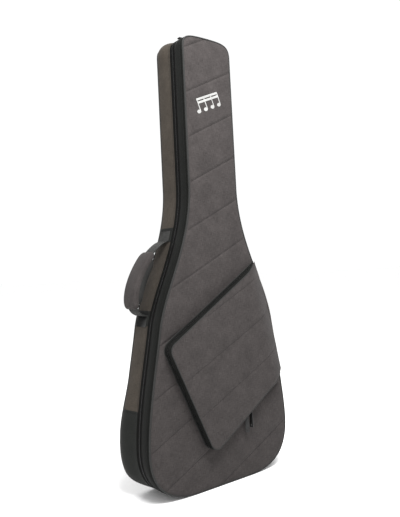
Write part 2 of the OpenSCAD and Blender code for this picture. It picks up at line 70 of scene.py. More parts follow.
# ---------------------------------------------------------------- curves in the XZ plane
def run_of(points: Points) -> Points:
    """Distance from the first point to each point of a line."""
    return np.concatenate([[0.0], np.cumsum(np.linalg.norm(np.diff(points, axis=0), axis=1))])


def circle(radius: float, count: int) -> list[tuple[float, float]]:
    """Points of a circle, one fewer than the count."""
    return [(radius * math.cos(a), radius * math.sin(a)) for a in np.linspace(0, 2 * math.pi, count)[:-1]]


class Path:
    """A curve in the XZ plane, measured by the distance along it."""

    def __init__(self, points: Sequence[Sequence[float]], closed: bool) -> None:
        """Args:
            points: the curve's points, anticlockwise as seen from the front.
            closed: whether the last point joins the first.
        """
        self.closed = closed
        knots = np.asarray(points, float)
        if closed:
            knots = np.vstack([knots, knots[:1]])
        gaps = np.linalg.norm(np.diff(knots, axis=0), axis=1)
        self.knots = knots[np.concatenate([[True], gaps > 1e-7])]
        self.run = run_of(self.knots)
        self.length = float(self.run[-1])
        self.tree: kdtree.KDTree | None = None

    def _on(self, s: Points) -> Points:
        """Points at distances s along the curve."""
        s = s % self.length if self.closed else np.clip(s, 0.0, self.length)
        return np.stack([np.interp(s, self.run, self.knots[:, k]) for k in (0, 1)], axis=-1)

    def normal(self, s: Points, reach: float = 3 * MM) -> Points:
        """Outward unit normals at distances s, evened over a short reach."""
        s = np.asarray(s, float)
        along = self._on(s + reach) - self._on(s - reach)
        along /= np.linalg.norm(along, axis=-1, keepdims=True)
        return np.stack([along[..., 1], -along[..., 0]], axis=-1)

    def at(self, s: Points, out: Points | float = 0.0) -> Points:
        """Points at distances s, moved outwards.

        Args:
            s: distances along the curve.
            out: how far outwards, one value or one for each distance.

        Returns:
            An array of x and z.
        """
        s = np.asarray(s, float)
        return self._on(s) + self.normal(s) * np.asarray(out, float)[..., None]

    def steps(self, gap: float, start: float = 0.0, end: float | None = None) -> Points:
        """Evenly spaced distances from start to end, about gap apart."""
        end = self.length if end is None else end
        return np.linspace(start, end, max(2, round((end - start) / gap) + 1))

    def away(self, points: Points) -> Points:
        """Distance of each point from the curve."""
        if self.tree is None:
            line = self._on(self.steps(0.7 * MM))
            self.tree = kdtree.KDTree(len(line))
            for i, (x, z) in enumerate(line):
                self.tree.insert((x, 0.0, z), i)
            self.tree.balance()
        return np.array([self.tree.find((x, 0.0, z))[2] for x, z in points])


def bezier(a: Sequence[float], b: Sequence[float], c: Sequence[float], d: Sequence[float]) -> Points:
    """A cubic curve from a to d with the handles b and c."""
    t = np.linspace(0.0, 1.0, 49)[:, None]
    s = 1.0 - t
    a, b, c, d = (np.array(p) for p in (a, b, c, d))
    return s**3 * a + 3 * s * s * t * b + 3 * s * t * t * c + t**3 * d


def smooth(t: Points) -> Points:
    """0 below 0, 1 above 1 and an even rise between."""
    t = np.clip(t, 0.0, 1.0)
    return t * t * (3 - 2 * t)


@dataclass
class Outline:
    """The bag's outline, as its front and rear seams follow it."""

    base_half: float = 70 * MM
    bout_height: float = 112 * MM
    shoulder: tuple[float, float] = (168 * MM, 370 * MM)
    neck: tuple[float, float] = (70 * MM, 690 * MM)
    head_corner: float = 32 * MM
    fullness: tuple[tuple[float, float], ...] = (
        (200, 0), (330, 4), (450, 6.5), (640, 6), (800, 5.5), (1000, 4), (1030, 2), (1048, 0))
    foot_flare: tuple[float, float] = (10.5 * MM, 6.5 * MM)
    path: Path = field(init=False)

    def __post_init__(self) -> None:
        """Draws the right half and mirrors it."""
        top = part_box("rear_piping")[1]
        bout, length = top.x, top.z
        (sx, sz), (nx, nz) = self.shoulder, self.neck
        half = np.vstack([
            [[0.0, 0.0]],
            bezier((self.base_half, 0), (self.base_half + 60 * MM, 0),
                   (bout - 2 * MM, 12 * MM), (bout, self.bout_height)),
            bezier((bout, self.bout_height), (bout, self.bout_height + 78 * MM),
                   (sx + 15 * MM, sz - 80 * MM), (sx, sz)),
            bezier((sx, sz), (sx - 15 * MM, sz + 92 * MM), (nx + 4 * MM, nz - 134 * MM), (nx, nz)),
            bezier((nx, length - self.head_corner), (nx, length - 3 * MM),
                   (nx - 14 * MM, length), (0, length)),
        ])
        heights, widths = np.array(self.fullness).T * MM
        full = half.copy()
        full[:, 0] += np.interp(half[:, 1], heights, widths) * smooth(half[:, 0] / (40 * MM))
        self.path = Path(np.vstack([full, half[-2:0:-1] * [-1, 1]]), closed=True)
        self.left, self.right = Path(half, closed=False), Path(full, closed=False)

    def station(self, z: float, side: int) -> float:
        """Distance along the outline to the height z, on the right (1) or the left (-1)."""
        half = self.right if side > 0 else self.left
        s = float(np.interp(z, half.knots[:, 1], half.run))
        return s if side > 0 else self.path.length - s

    def half_at(self, z: float, side: int = -1) -> float:
        """Width from the middle to the right (1) or left (-1) seam at the height z."""
        half = self.right if side > 0 else self.left
        return float(np.interp(z, half.knots[:, 1], half.knots[:, 0]))

    def flare(self, stations: Points) -> Points:
        """How far the padded foot of the rear half stands out at each station."""
        x, z = self.path.at(stations).T
        share = smooth((z - 6 * MM) / (55 * MM)) * (1 - smooth((z - 140 * MM) / (130 * MM)))
        return np.where(x < 0, self.foot_flare[0], self.foot_flare[1]) * share

    def inset(self, inward: float) -> Path:
        """A closed curve inside the outline."""
        return Path(self.path.at(self.path.steps(2 * MM)[:-1], -inward), closed=True)

    def inside(self, x: float, z: float, margin: float) -> bool:
        """Whether a point lies between the seams by a margin."""
        if not 0 < z < self.left.knots[-1, 1]:
            return False
        return margin - self.half_at(z) < x < self.half_at(z, 1) - margin


OUTLINE = Outline()


# ---------------------------------------------------------------- meshes
def mapped_grid(us: Points, vs: Points, place: Shape, uv: Shape | None = None) -> bmesh.types.BMesh:
    """A grid laid over a surface.

    Args:
        us: values along the grid's first side.
        vs: values along its second side.
        place: gives the point for each pair of values, as arrays.
        uv: gives the cloth coordinates in metres; the values themselves by default.

    Returns:
        The mesh, with doubled points joined.
    """
    bm = bmesh.new()
    bmesh.ops.create_grid(bm, x_segments=len(us) - 1, y_segments=len(vs) - 1, size=0.5)
    flat = np.array([v.co[:2] for v in bm.verts]) + 0.5
    i = np.rint(flat[:, 0] * (len(us) - 1)).astype(int)
    j = np.rint(flat[:, 1] * (len(vs) - 1)).astype(int)
    points = place(us[i], vs[j])
    cloth = np.stack([us[i], vs[j]], axis=1) if uv is None else uv(us[i], vs[j])
    for v, p in zip(bm.verts, points):
        v.co = p
    layer = bm.loops.layers.uv.new("Cloth")
    for face in bm.faces:
        for loop in face.loops:
            loop[layer].uv = cloth[loop.vert.index]
    bmesh.ops.remove_doubles(bm, verts=bm.verts, dist=1e-6)
    return bm


def close_up(bm: bmesh.types.BMesh) -> None:
    """Caps open ends and turns all faces outwards."""
    rim = [e for e in bm.edges if e.is_boundary]
    if rim:
        bmesh.ops.holes_fill(bm, edges=rim, sides=0)
    bmesh.ops.recalc_face_normals(bm, faces=bm.faces)


def wall_band(path: Path, stations: Points, section: Callable[[Points], Points]) -> bmesh.types.BMesh:
    """A strip that follows a curve, closed all round its section.

    Args:
        path: the curve.
        stations: distances along it; the whole way round closes the strip.
        section: gives, for the stations, an array of (station, point, [out, y]).

    Returns:
        The closed mesh.
    """
    shape = section(stations)
    shape = np.concatenate([shape, shape[:, :1]], axis=1)
    rows = np.arange(shape.shape[1], dtype=float)
    columns = np.arange(len(stations), dtype=float)
    around = run_of(shape[0])

    def place(u: Points, v: Points) -> Points:
        i, j = u.astype(int), v.astype(int)
        x, z = path.at(stations[i], shape[i, j, 0]).T
        return np.stack([x, shape[i, j, 1], np.maximum(z, 0.0)], axis=1)

    def cloth(u: Points, v: Points) -> Points:
        return np.stack([stations[u.astype(int)], around[v.astype(int)]], axis=1)

    bm = mapped_grid(columns, rows, place, cloth)
    close_up(bm)
    return bm


def fixed_section(points: Sequence[Sequence[float]]) -> Callable[[Points], Points]:
    """A section that is the same at every station: (out, y) in millimetres."""
    shape = np.asarray(points, float) * MM

    def section(stations: Points) -> Points:
        return np.broadcast_to(shape, (len(stations), *shape.shape)).copy()

    return section


def round_section(width: float, thick: float, corner: float, crown: float = 0.0, n: int = 4) -> Points:
    """A rounded bar's section, centred: (across, up), crowned by some height on both sides."""
    points = []
    for k, (sx, sz) in enumerate(((1, 1), (-1, 1), (-1, -1), (1, -1))):
        for i in range(n + 1):
            a = math.radians(90 * k + 90 * i / n)
            points.append((sx * (width / 2 - corner) + corner * math.cos(a),
                           sz * (thick / 2 - corner) + corner * math.sin(a)))
        if crown:
            x0, x1 = points[-1][0], -points[-1][0]
            if k in (0, 2):
                for t in (0.2, 0.4, 0.6, 0.8):
                    lift = crown * math.sin(math.pi * t) ** 0.7
                    points.append((x0 + (x1 - x0) * t, sz * (thick / 2 + lift)))
    return np.array(points)


def ribbon(line: Points, side: Vector, section: Points, grow: Points | None = None,
           closed: bool = False) -> bmesh.types.BMesh:
    """A strap or pad that follows a line.

    Args:
        line: points along its middle.
        side: direction of its width.
        section: its closed section, (across, up).
        grow: scale of the section at each point of the line.
        closed: whether the line is a loop.

    Returns:
        The closed mesh.
    """
    if closed:
        line = np.vstack([line, line[:1]])
    across = np.array(side, float)
    ends = np.vstack([line[-2] if closed else line[0], line, line[1] if closed else line[-1]])
    along = ends[2:] - ends[:-2]
    along /= np.linalg.norm(along, axis=1, keepdims=True)
    up = np.cross(along, across)
    up /= np.linalg.norm(up, axis=1, keepdims=True)
    run = run_of(line)
    scale = np.ones((len(line), 2)) if grow is None else grow
    ring = np.vstack([section, section[:1]])
    girth = run_of(ring)

    def place(u: Points, v: Points) -> Points:
        i, j = u.astype(int), v.astype(int)
        return (line[i] + across * (ring[j, 0] * scale[i, 0])[:, None]
                + up[i] * (ring[j, 1] * scale[i, 1])[:, None])

    def cloth(u: Points, v: Points) -> Points:
        return np.stack([run[u.astype(int)], girth[v.astype(int)]], axis=1)

    bm = mapped_grid(np.arange(len(line), dtype=float), np.arange(len(ring), dtype=float), place, cloth)
    close_up(bm)
    return bm


def rounded_copy(node: str, radius: float, segments: int = 2) -> bmesh.types.BMesh:
    """The solid of a CAD node with its edges rounded.

    Args:
        node: the node's name.
        radius: size of the rounding.
        segments: faces across the rounding.

    Returns:
        A new mesh; the node's own stays as it is.
    """
    bm = bmesh.new()
    bm.from_mesh(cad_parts[node].data)
    bmesh.ops.remove_doubles(bm, verts=bm.verts, dist=1e-6)
    bmesh.ops.dissolve_limit(bm, angle_limit=math.radians(0.5), verts=bm.verts, edges=bm.edges)
    sharp = [e for e in bm.edges if len(e.link_faces) == 2 and e.calc_face_angle() > math.radians(35)]
    bmesh.ops.bevel(bm, geom=sharp, offset=radius, segments=segments, profile=0.5, affect="EDGES",
                    clamp_overlap=True, material=-1)
    bmesh.ops.recalc_face_normals(bm, faces=bm.faces)
    return bm


def repeated(template: bmesh.types.BMesh, places: Sequence[Matrix]) -> bmesh.types.BMesh:
    """One mesh that holds a small shape at each of many places."""
    small = bpy.data.meshes.new("template")
    template.to_mesh(small)
    template.free()
    bm = bmesh.new()
    for place in places:
        moved = small.copy()
        moved.transform(place)
        bm.from_mesh(moved)
        bpy.data.meshes.remove(moved)
    bpy.data.meshes.remove(small)
    return bm


def stance(at: Vector, along: Vector, up: Vector) -> Matrix:
    """A place whose X runs along a direction and whose Z points as near as can be to up."""
    x = along.normalized()
    y = up.cross(x).normalized()
    z = x.cross(y)
    turn = Matrix((x, y, z)).transposed().to_4x4()
    turn.translation = at
    return turn


# ---------------------------------------------------------------- finishes
class Coords(Enum):
    """Where a finish takes its pattern's coordinates from."""

    CLOTH = "cloth map"
    OBJECT = "object"


class Nodes:
    """A small helper that adds shader nodes and joins them."""

    def __init__(self, tree: bpy.types.NodeTree) -> None:
        """Args: tree: the node tree to add to."""
        self.tree = tree

    def add(self, kind: str, **values: object) -> bpy.types.Node:
        """Adds a node.

        Args:
            kind: the node's type name.
            values: its own settings, or input values where a name starts with in_.

        Returns:
            The node.
        """
        node = self.tree.nodes.new(kind)
        for key, value in values.items():
            if key.startswith("in_"):
                node.inputs[key[3:].replace("_", " ")].default_value = value
            else:
                setattr(node, key, value)
        return node

    def link(self, source: bpy.types.NodeSocket, target: bpy.types.NodeSocket) -> None:
        """Joins an output to an input."""
        self.tree.links.new(source, target)

    def math(self, operation: str, *inputs: object) -> bpy.types.NodeSocket:
        """Adds a Math node on sockets or numbers and returns its output."""
        node = self.add("ShaderNodeMath", operation=operation)
        for slot, value in zip(node.inputs, inputs):
            if isinstance(value, bpy.types.NodeSocket):
                self.link(value, slot)
            else:
                slot.default_value = value
        return node.outputs[0]


def new_group(name: str, inputs: dict[str, object],
              outputs: Sequence[str]) -> tuple[bpy.types.NodeTree, Nodes]:
    """An empty shader group.

    Args:
        name: its name.
        inputs: each input's name and default; None makes it a vector.
        outputs: names of its outputs, which are values.

    Returns:
        The group and a helper on it.
    """
    tree = bpy.data.node_groups.new(name, "ShaderNodeTree")
    for key, value in inputs.items():
        kind = "NodeSocketVector" if value is None else "NodeSocketFloat"
        socket = tree.interface.new_socket(key, in_out="INPUT", socket_type=kind)
        if value is not None:
            socket.default_value = value
    for key in outputs:
        tree.interface.new_socket(key, in_out="OUTPUT", socket_type="NodeSocketFloat")
    return tree, Nodes(tree)


def weave_group() -> bpy.types.NodeTree:
    """Plain weave: Height of the threads and Warp, which set of threads lies on top."""
    tree, n = new_group("Weave", {"Vector": None, "Threads": 1400.0}, ("Height", "Warp"))
    inside = n.add("NodeGroupInput")
    outside = n.add("NodeGroupOutput")
    parts = n.add("ShaderNodeSeparateXYZ")
    n.link(inside.outputs["Vector"], parts.inputs[0])
    u = n.math("MULTIPLY", parts.outputs[0], inside.outputs["Threads"])
    v = n.math("MULTIPLY", parts.outputs[1], inside.outputs["Threads"])
    over = n.math("MODULO", n.math("ADD", n.math("FLOOR", u), n.math("FLOOR", v)), 2.0)
    over = n.math("ABSOLUTE", over)
    ridge_u = n.math("ABSOLUTE", n.math("SINE", n.math("MULTIPLY", u, math.pi)))
    ridge_v = n.math("ABSOLUTE", n.math("SINE", n.math("MULTIPLY", v, math.pi)))
    top = n.math("MULTIPLY", ridge_u, over)
    rest = n.math("MULTIPLY", ridge_v, n.math("SUBTRACT", 1.0, over))
    n.link(n.math("ADD", top, rest), outside.inputs["Height"])
    n.link(over, outside.inputs["Warp"])
    return tree


def melange_group() -> bpy.types.NodeTree:
    """Two-tone yarn: Fleck, where light yarn shows, and Tone, slow changes over the cloth."""
    tree, n = new_group("Melange", {"Vector": None, "Fleck": 900.0}, ("Fleck", "Tone"))
    inside = n.add("NodeGroupInput")
    outside = n.add("NodeGroupOutput")
    streaks = []
    for stretch in ((1.0, 0.09, 1.0), (0.09, 1.0, 1.0)):
        turn = n.add("ShaderNodeMapping", in_Scale=stretch)
        n.link(inside.outputs["Vector"], turn.inputs["Vector"])
        grain = n.add("ShaderNodeTexNoise", in_Detail=2.0, in_Roughness=0.6)
        n.link(turn.outputs[0], grain.inputs["Vector"])
        n.link(inside.outputs["Fleck"], grain.inputs["Scale"])
        streaks.append(grain.outputs["Fac"])
    both = n.math("MULTIPLY", n.math("ADD", *streaks), 0.5)
    fleck = n.add("ShaderNodeMapRange", in_From_Min=0.36, in_From_Max=0.64)
    n.link(both, fleck.inputs["Value"])
    broad = n.add("ShaderNodeTexNoise", in_Scale=26.0, in_Detail=3.0)
    n.link(inside.outputs["Vector"], broad.inputs["Vector"])
    n.link(fleck.outputs[0], outside.inputs["Fleck"])
    n.link(broad.outputs["Fac"], outside.inputs["Tone"])
    return tree


GROUPS: dict[str, bpy.types.NodeTree] = {}


def group(name: str) -> bpy.types.NodeTree:
    """The shared group of that name, made once."""
    if name not in GROUPS:
        GROUPS[name] = {"Weave": weave_group, "Melange": melange_group}[name]()
    return GROUPS[name]


def new_material(name: str) -> tuple[bpy.types.Material, Nodes, bpy.types.Node]:
    """An empty material with a helper on its nodes and its shader."""
    made = bpy.data.materials.new(name)
    made.use_nodes = True
    return made, Nodes(made.node_tree), made.node_tree.nodes["Principled BSDF"]


@dataclass(frozen=True)
class Cloth:
    """A woven cloth: its two yarns, its thread and how it takes the light."""

    name: str
    slot: str
    dark: tuple[float, float, float]
    light: tuple[float, float, float]
    threads: float = 1300.0
    fleck: float = 900.0
    relief: float = 0.12
    roughness: float = 0.85
    sheen: float = 0.03
    gloss: float = 0.1
    # painted shade: how much darker the cloth is painted towards the bag's foot
    foot_shade: float = 0.2
    coords: Coords = Coords.CLOTH

    def painted_foot_shade(self, n: Nodes) -> bpy.types.NodeSocket:
        """Painted shade: a factor that darkens the cloth evenly towards the bag's foot and lightens it a
        little at the top, as light falls off lower down.
        """
        height = n.add("ShaderNodeSeparateXYZ")
        n.link(n.add("ShaderNodeTexCoord").outputs["Object"], height.inputs[0])
        fall = n.add("ShaderNodeMapRange", in_To_Min=1 - self.foot_shade, in_To_Max=1 + self.foot_shade / 4)
        n.link(height.outputs["Z"], fall.inputs["Value"])
        return fall.outputs[0]

    def material(self) -> bpy.types.Material:
        """The cloth's material, made once."""
        found = bpy.data.materials.get(self.name)
        if found:
            return found
        made, n, shader = new_material(self.name)
        if self.coords is Coords.CLOTH:
            where = n.add("ShaderNodeUVMap", uv_map="Cloth").outputs[0]
        else:
            where = n.add("ShaderNodeTexCoord").outputs["Object"]
        weave = n.add("ShaderNodeGroup", node_tree=group("Weave"), in_Threads=self.threads)
        yarn = n.add("ShaderNodeGroup", node_tree=group("Melange"), in_Fleck=self.fleck)
        n.link(where, weave.inputs["Vector"])
        n.link(where, yarn.inputs["Vector"])
        mix = n.add("ShaderNodeMix", data_type="RGBA")
        mix.inputs["A"].default_value = (*self.dark, 1.0)
        mix.inputs["B"].default_value = (*self.light, 1.0)
        n.link(yarn.outputs["Fleck"], mix.inputs["Factor"])
        tone = n.add("ShaderNodeMapRange", in_From_Min=0.3, in_From_Max=0.7, in_To_Min=0.86, in_To_Max=1.14)
        n.link(yarn.outputs["Tone"], tone.inputs["Value"])
        shade = n.add("ShaderNodeMix", data_type="RGBA", blend_type="MULTIPLY", in_Factor=1.0)
        n.link(mix.outputs["Result"], shade.inputs["A"])
        # random yarn tone times the painted shade towards the foot
        tone_and_foot_shade = n.math("MULTIPLY", tone.outputs[0], self.painted_foot_shade(n))
        n.link(tone_and_foot_shade, shade.inputs["B"])
        n.link(shade.outputs["Result"], shader.inputs["Base Color"])
        rough = n.add("ShaderNodeMapRange", in_To_Min=self.roughness - 0.08, in_To_Max=self.roughness + 0.08)
        n.link(yarn.outputs["Tone"], rough.inputs["Value"])
        n.link(rough.outputs[0], shader.inputs["Roughness"])
        bump = n.add("ShaderNodeBump", in_Strength=self.relief, in_Distance=0.4 * MM)
        n.link(weave.outputs["Height"], bump.inputs["Height"])
        n.link(bump.outputs[0], shader.inputs["Normal"])
        shader.inputs["Sheen Weight"].default_value = self.sheen
        shader.inputs["Specular IOR Level"].default_value = self.gloss
        return made


@dataclass(frozen=True)
class Moulded:
    """A smooth moulded or lacquered finish with a faint grain."""

    name: str
    slot: str
    color: tuple[float, float, float]
    roughness: float = 0.4
    metallic: float = 0.0
    grain: float = 1500.0

    def material(self) -> bpy.types.Material:
        """The finish's material, made once."""
        found = bpy.data.materials.get(self.name)
        if found:
            return found
        made, n, shader = new_material(self.name)
        where = n.add("ShaderNodeTexCoord").outputs["Object"]
        grain = n.add("ShaderNodeTexNoise", in_Scale=self.grain, in_Detail=3.0)
        n.link(where, grain.inputs["Vector"])
        rough = n.add("ShaderNodeMapRange", in_To_Min=self.roughness - 0.1, in_To_Max=self.roughness + 0.1)
        n.link(grain.outputs["Fac"], rough.inputs["Value"])
        n.link(rough.outputs[0], shader.inputs["Roughness"])
        ramp = n.add("ShaderNodeMix", data_type="RGBA")
        ramp.inputs["A"].default_value = (*(c * 0.85 for c in self.color), 1.0)
        ramp.inputs["B"].default_value = (*(c * 1.15 for c in self.color), 1.0)
        n.link(grain.outputs["Fac"], ramp.inputs["Factor"])
        n.link(ramp.outputs["Result"], shader.inputs["Base Color"])
        bump = n.add("ShaderNodeBump", in_Strength=0.05, in_Distance=0.1 * MM)
        n.link(grain.outputs["Fac"], bump.inputs["Height"])
        n.link(bump.outputs[0], shader.inputs["Normal"])
        shader.inputs["Metallic"].default_value = self.metallic
        shader.inputs["Specular IOR Level"].default_value = 0.35
        return made


HEATHER = Cloth("heather_cloth", "heather_light", (0.0288, 0.0250, 0.0243), (0.0555, 0.0495, 0.0484))
HEATHER_SIDE = Cloth("heather_side_cloth", "heather_dark", (0.030, 0.0245, 0.0192), (0.057, 0.048, 0.039))
# painted shade: the black nylon at 0.6 of its brightness, for the shaded sides of the lid and the pocket
SHADED_GUSSET_NYLON = Cloth("gusset_nylon_painted_shade", "black_nylon", (0.0045, 0.0048, 0.0043), (0.0085, 0.0090, 0.0081),
               threads=1000.0, relief=0.2, roughness=0.75, sheen=0.02, gloss=0.08)
NYLON = Cloth("black_nylon_cloth", "black_nylon", (0.0075, 0.0082, 0.0074), (0.0135, 0.0145, 0.013),
              threads=1000.0, relief=0.2, roughness=0.7)
NYLON_PLAIN = Cloth("black_nylon_sewn", "black_nylon", (0.012, 0.0125, 0.0115), (0.021, 0.022, 0.020),
                    threads=1000.0, relief=0.2, roughness=0.7, coords=Coords.OBJECT)
WRAP = Cloth("piping_cloth", "piping", (0.015, 0.015, 0.0145), (0.026, 0.026, 0.025), threads=1200.0,
             roughness=0.65, gloss=0.2)
WRAP_PLAIN = Cloth("piping_sewn", "piping", (0.015, 0.015, 0.0145), (0.026, 0.026, 0.025), threads=1200.0,
                   coords=Coords.OBJECT)
TAPE = Cloth("zip_tape_cloth", "zip_tape", (0.004, 0.004, 0.004), (0.009, 0.009, 0.0085), threads=1500.0,
             roughness=0.85, sheen=0.0, gloss=0.05)
WEB = Cloth("webbing_cloth", "webbing", (0.018, 0.018, 0.017), (0.038, 0.038, 0.036), threads=650.0,
            relief=0.4, roughness=0.75)
WEB_PLAIN = Cloth("webbing_sewn", "webbing", (0.009, 0.009, 0.0085), (0.019, 0.019, 0.018), threads=650.0,
                  relief=0.4, roughness=0.75, coords=Coords.OBJECT)
MESH = Cloth("strap_mesh_cloth", "strap_mesh", (0.010, 0.010, 0.010), (0.024, 0.024, 0.024),
             threads=420.0, relief=0.7, roughness=0.8)
PLUSH = Cloth("plush_lining", "lining", (0.030, 0.030, 0.034), (0.062, 0.062, 0.070), threads=2600.0,
              fleck=1800.0, relief=0.3, roughness=0.95, sheen=0.3, coords=Coords.OBJECT)
FOAM = Cloth("closed_cell_foam", "foam", (0.14, 0.14, 0.15), (0.22, 0.22, 0.23), threads=2200.0,
             relief=0.3, coords=Coords.OBJECT)
THREAD = Cloth("white_thread", "thread", (0.32, 0.32, 0.31), (0.42, 0.42, 0.41), threads=1100.0,
               roughness=0.55, relief=0.7, coords=Coords.OBJECT)
DARK_THREAD = Cloth("dark_thread", "piping", (0.007, 0.007, 0.007), (0.015, 0.015, 0.015), threads=2400.0,
                    roughness=0.6, coords=Coords.OBJECT)
SEAM_THREAD = Cloth("seam_thread", "piping", (0.019, 0.017, 0.017), (0.033, 0.030, 0.029),
                    threads=2400.0, roughness=0.7, coords=Coords.OBJECT)
TEETH = Moulded("zip_teeth_nylon", "zip_teeth", (0.006, 0.006, 0.006), 0.4)
SLIDER = Moulded("slider_lacquer", "black_metal", (0.008, 0.008, 0.008), 0.3)
PULL = Moulded("pull_rubber", "black_metal", (0.009, 0.009, 0.009), 0.5)
BUCKLE = Moulded("buckle_plastic", "buckle_plastic", (0.010, 0.010, 0.010), 0.4)
Finish = Cloth | Moulded


def piece(name: str, bm: bmesh.types.BMesh, body: str | None, finish: Finish,
          stands_for: Sequence[str] = (), sharp: float = 42.0) -> bpy.types.Object:
    """Makes a mesh a piece of the bag.

    Args:
        name: the piece's name.
        bm: its mesh, which is used up.
        body: the CAD body that it rides on, or None, which leaves it attached to none.
        finish: its finish.
        stands_for: the CAD nodes that it replaces.
        sharp: edges turned by more degrees than this stay crisp.

    Returns:
        The new object.
    """
    data = bpy.data.meshes.new(name)
    bm.to_mesh(data)
    bm.free()
    data.shade_smooth()
    data.set_sharp_from_angle(angle=math.radians(sharp))
    made = bpy.data.objects.new(name, data)
    bpy.context.scene.collection.objects.link(made)
    data.materials.clear()
    data.materials.append(finish.material())
    if body:
        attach(made, body)
    if stands_for:
        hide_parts(*stands_for)
    LOG.info("%s: %d faces", name, len(data.polygons))
    return made


def dress(node: str, finish: Finish) -> None:
    """Gives a kept CAD node its finish."""
    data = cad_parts[node].data
    data.materials.clear()
    data.materials.append(finish.material())


class Skin:
    """The outer surface of a piece, as something that is sewn on finds it."""

    def __init__(self, made: bpy.types.Object, toward: float) -> None:
        """Args:
            made: the piece.
            toward: the direction in Y that looks at it: 1 from the front, -1 from behind.
        """
        self.toward = toward
        self.tree = BVHTree.FromPolygons([v.co for v in made.data.vertices],
                                         [p.vertices for p in made.data.polygons])

    def touch(self, x: float, z: float, default: float) -> tuple[Vector, Vector]:
        """Where a needle along Y meets the surface.

        Args:
            x: place across.
            z: height.
            default: the depth used where it misses.

        Returns:
            The point and the outward normal.
        """
        hit, normal, _, _ = self.tree.ray_cast(Vector((x, -self.toward, z)), Vector((0, self.toward, 0)))
        if hit is None:
            return Vector((x, default, z)), Vector((0, -self.toward, 0))
        return hit, normal if normal.y * self.toward < 0 else -normal


def stitches(line: Sequence[tuple[Vector, Vector]], pitch: float = 4.2 * MM, radius: float = 0.45 * MM,
             rise: float = 0.1 * MM) -> list[Matrix]:
    """Places of the stitches along a seam.

    Args:
        line: points of the seam with the surface's normals.
        pitch: distance from stitch to stitch.
        radius: radius of the thread.
        rise: how far the thread's middle stands off the surface.

    Returns:
        One place for each stitch.
    """
    points = np.array([p for p, _ in line])
    run = run_of(points)
    places = []
    for k in range(int(run[-1] / pitch)):
        s = (k + 0.5) * pitch
        i = min(int(np.searchsorted(run, s)), len(line) - 1)
        t = (s - run[i - 1]) / max(run[i] - run[i - 1], 1e-9)
        at = line[i - 1][0].lerp(line[i][0], t)
        up = line[i - 1][1].lerp(line[i][1], t).normalized()
        along = line[i][0] - line[i - 1][0]
        if along.length > 1e-9 and at.z > 1.2 * MM:
            size = Matrix.Diagonal((1, radius / MM, radius / MM, 1))
            places.append(stance(at + up * rise, along, up) @ size)
    return places


def stitch_shape(length: float = 3.0 * MM) -> bmesh.types.BMesh:
    """One stitch along X: a six-sided bar of unit radius in millimetres, thinner at its ends."""
    bm = bmesh.new()
    bmesh.ops.create_cone(bm, segments=6, radius1=MM, radius2=MM, depth=length, cap_ends=True)
    ends = [f for f in bm.faces if len(f.verts) == 6]
    bmesh.ops.inset_region(bm, faces=ends, thickness=0.35 * MM, depth=0.0, use_even_offset=True)
    for f in ends:
        bmesh.ops.translate(bm, verts=list(f.verts), vec=f.normal * 0.25 * MM)
    bmesh.ops.rotate(bm, verts=bm.verts, matrix=Matrix.Rotation(math.pi / 2, 3, "Y"))
    return bm


# ---------------------------------------------------------------- quilted panels
def sew(name: str, places: Sequence[Matrix], body: str, thread: "Finish") -> bpy.types.Object:
    """Makes one piece of all the stitches at their places."""
    return piece(name, repeated(stitch_shape(), places), body, thread)


@dataclass
class Quilting:
    """Parallel rows of stitching that rise to the right."""

    slope: float = math.tan(math.radians(26.5))
    first: float = 10 * MM
    pitch: float = 104 * MM
    count: int = 11
    depth: float = 1.5 * MM
    spread: float = 3.0 * MM
    pillow: float = 1.3 * MM

    def level(self, x: Points, z: Points) -> Points:
        """Height at the middle of the bag of the row through each point."""
        return z - self.slope * x

    def rows(self) -> list[float]:
        """Levels of the stitched rows."""
        return [self.first + k * self.pitch for k in range(self.count)]

    def relief(self, x: Points, z: Points) -> Points:
        """How far the cloth stands above the stitching, from the padding between two rows."""
        share = (self.level(x, z) - self.first) / self.pitch
        gap = np.abs(share - np.rint(share)) * self.pitch * math.cos(math.atan(self.slope))
        puff = self.pillow * np.abs(np.sin(np.pi * share)) ** 0.7
        return puff - self.depth * np.exp(-((gap / self.spread) ** 2))


def sewn_rows(quilting: Quilting, skin: Skin) -> list[Matrix]:
    """Stitches along every quilted row inside the bag's outline."""
    places = []
    for level in quilting.rows():
        line = []
        for x in np.arange(-210 * MM, 210 * MM, 3 * MM):
            z = level + quilting.slope * x
            if OUTLINE.inside(x, z, 5 * MM):
                line.append(skin.touch(x, z, FRONT))
        if len(line) > 4:
            places += stitches(line, 4.2 * MM, 0.42 * MM)
    return places


def ripple(x: Points, z: Points, scale: float, seed: float) -> Points:
    """Slow, even unevenness of padded cloth, between -1 and 1."""
    return np.array([noise.noise(Vector((a / scale, seed, b / scale))) for a, b in zip(x, z)])


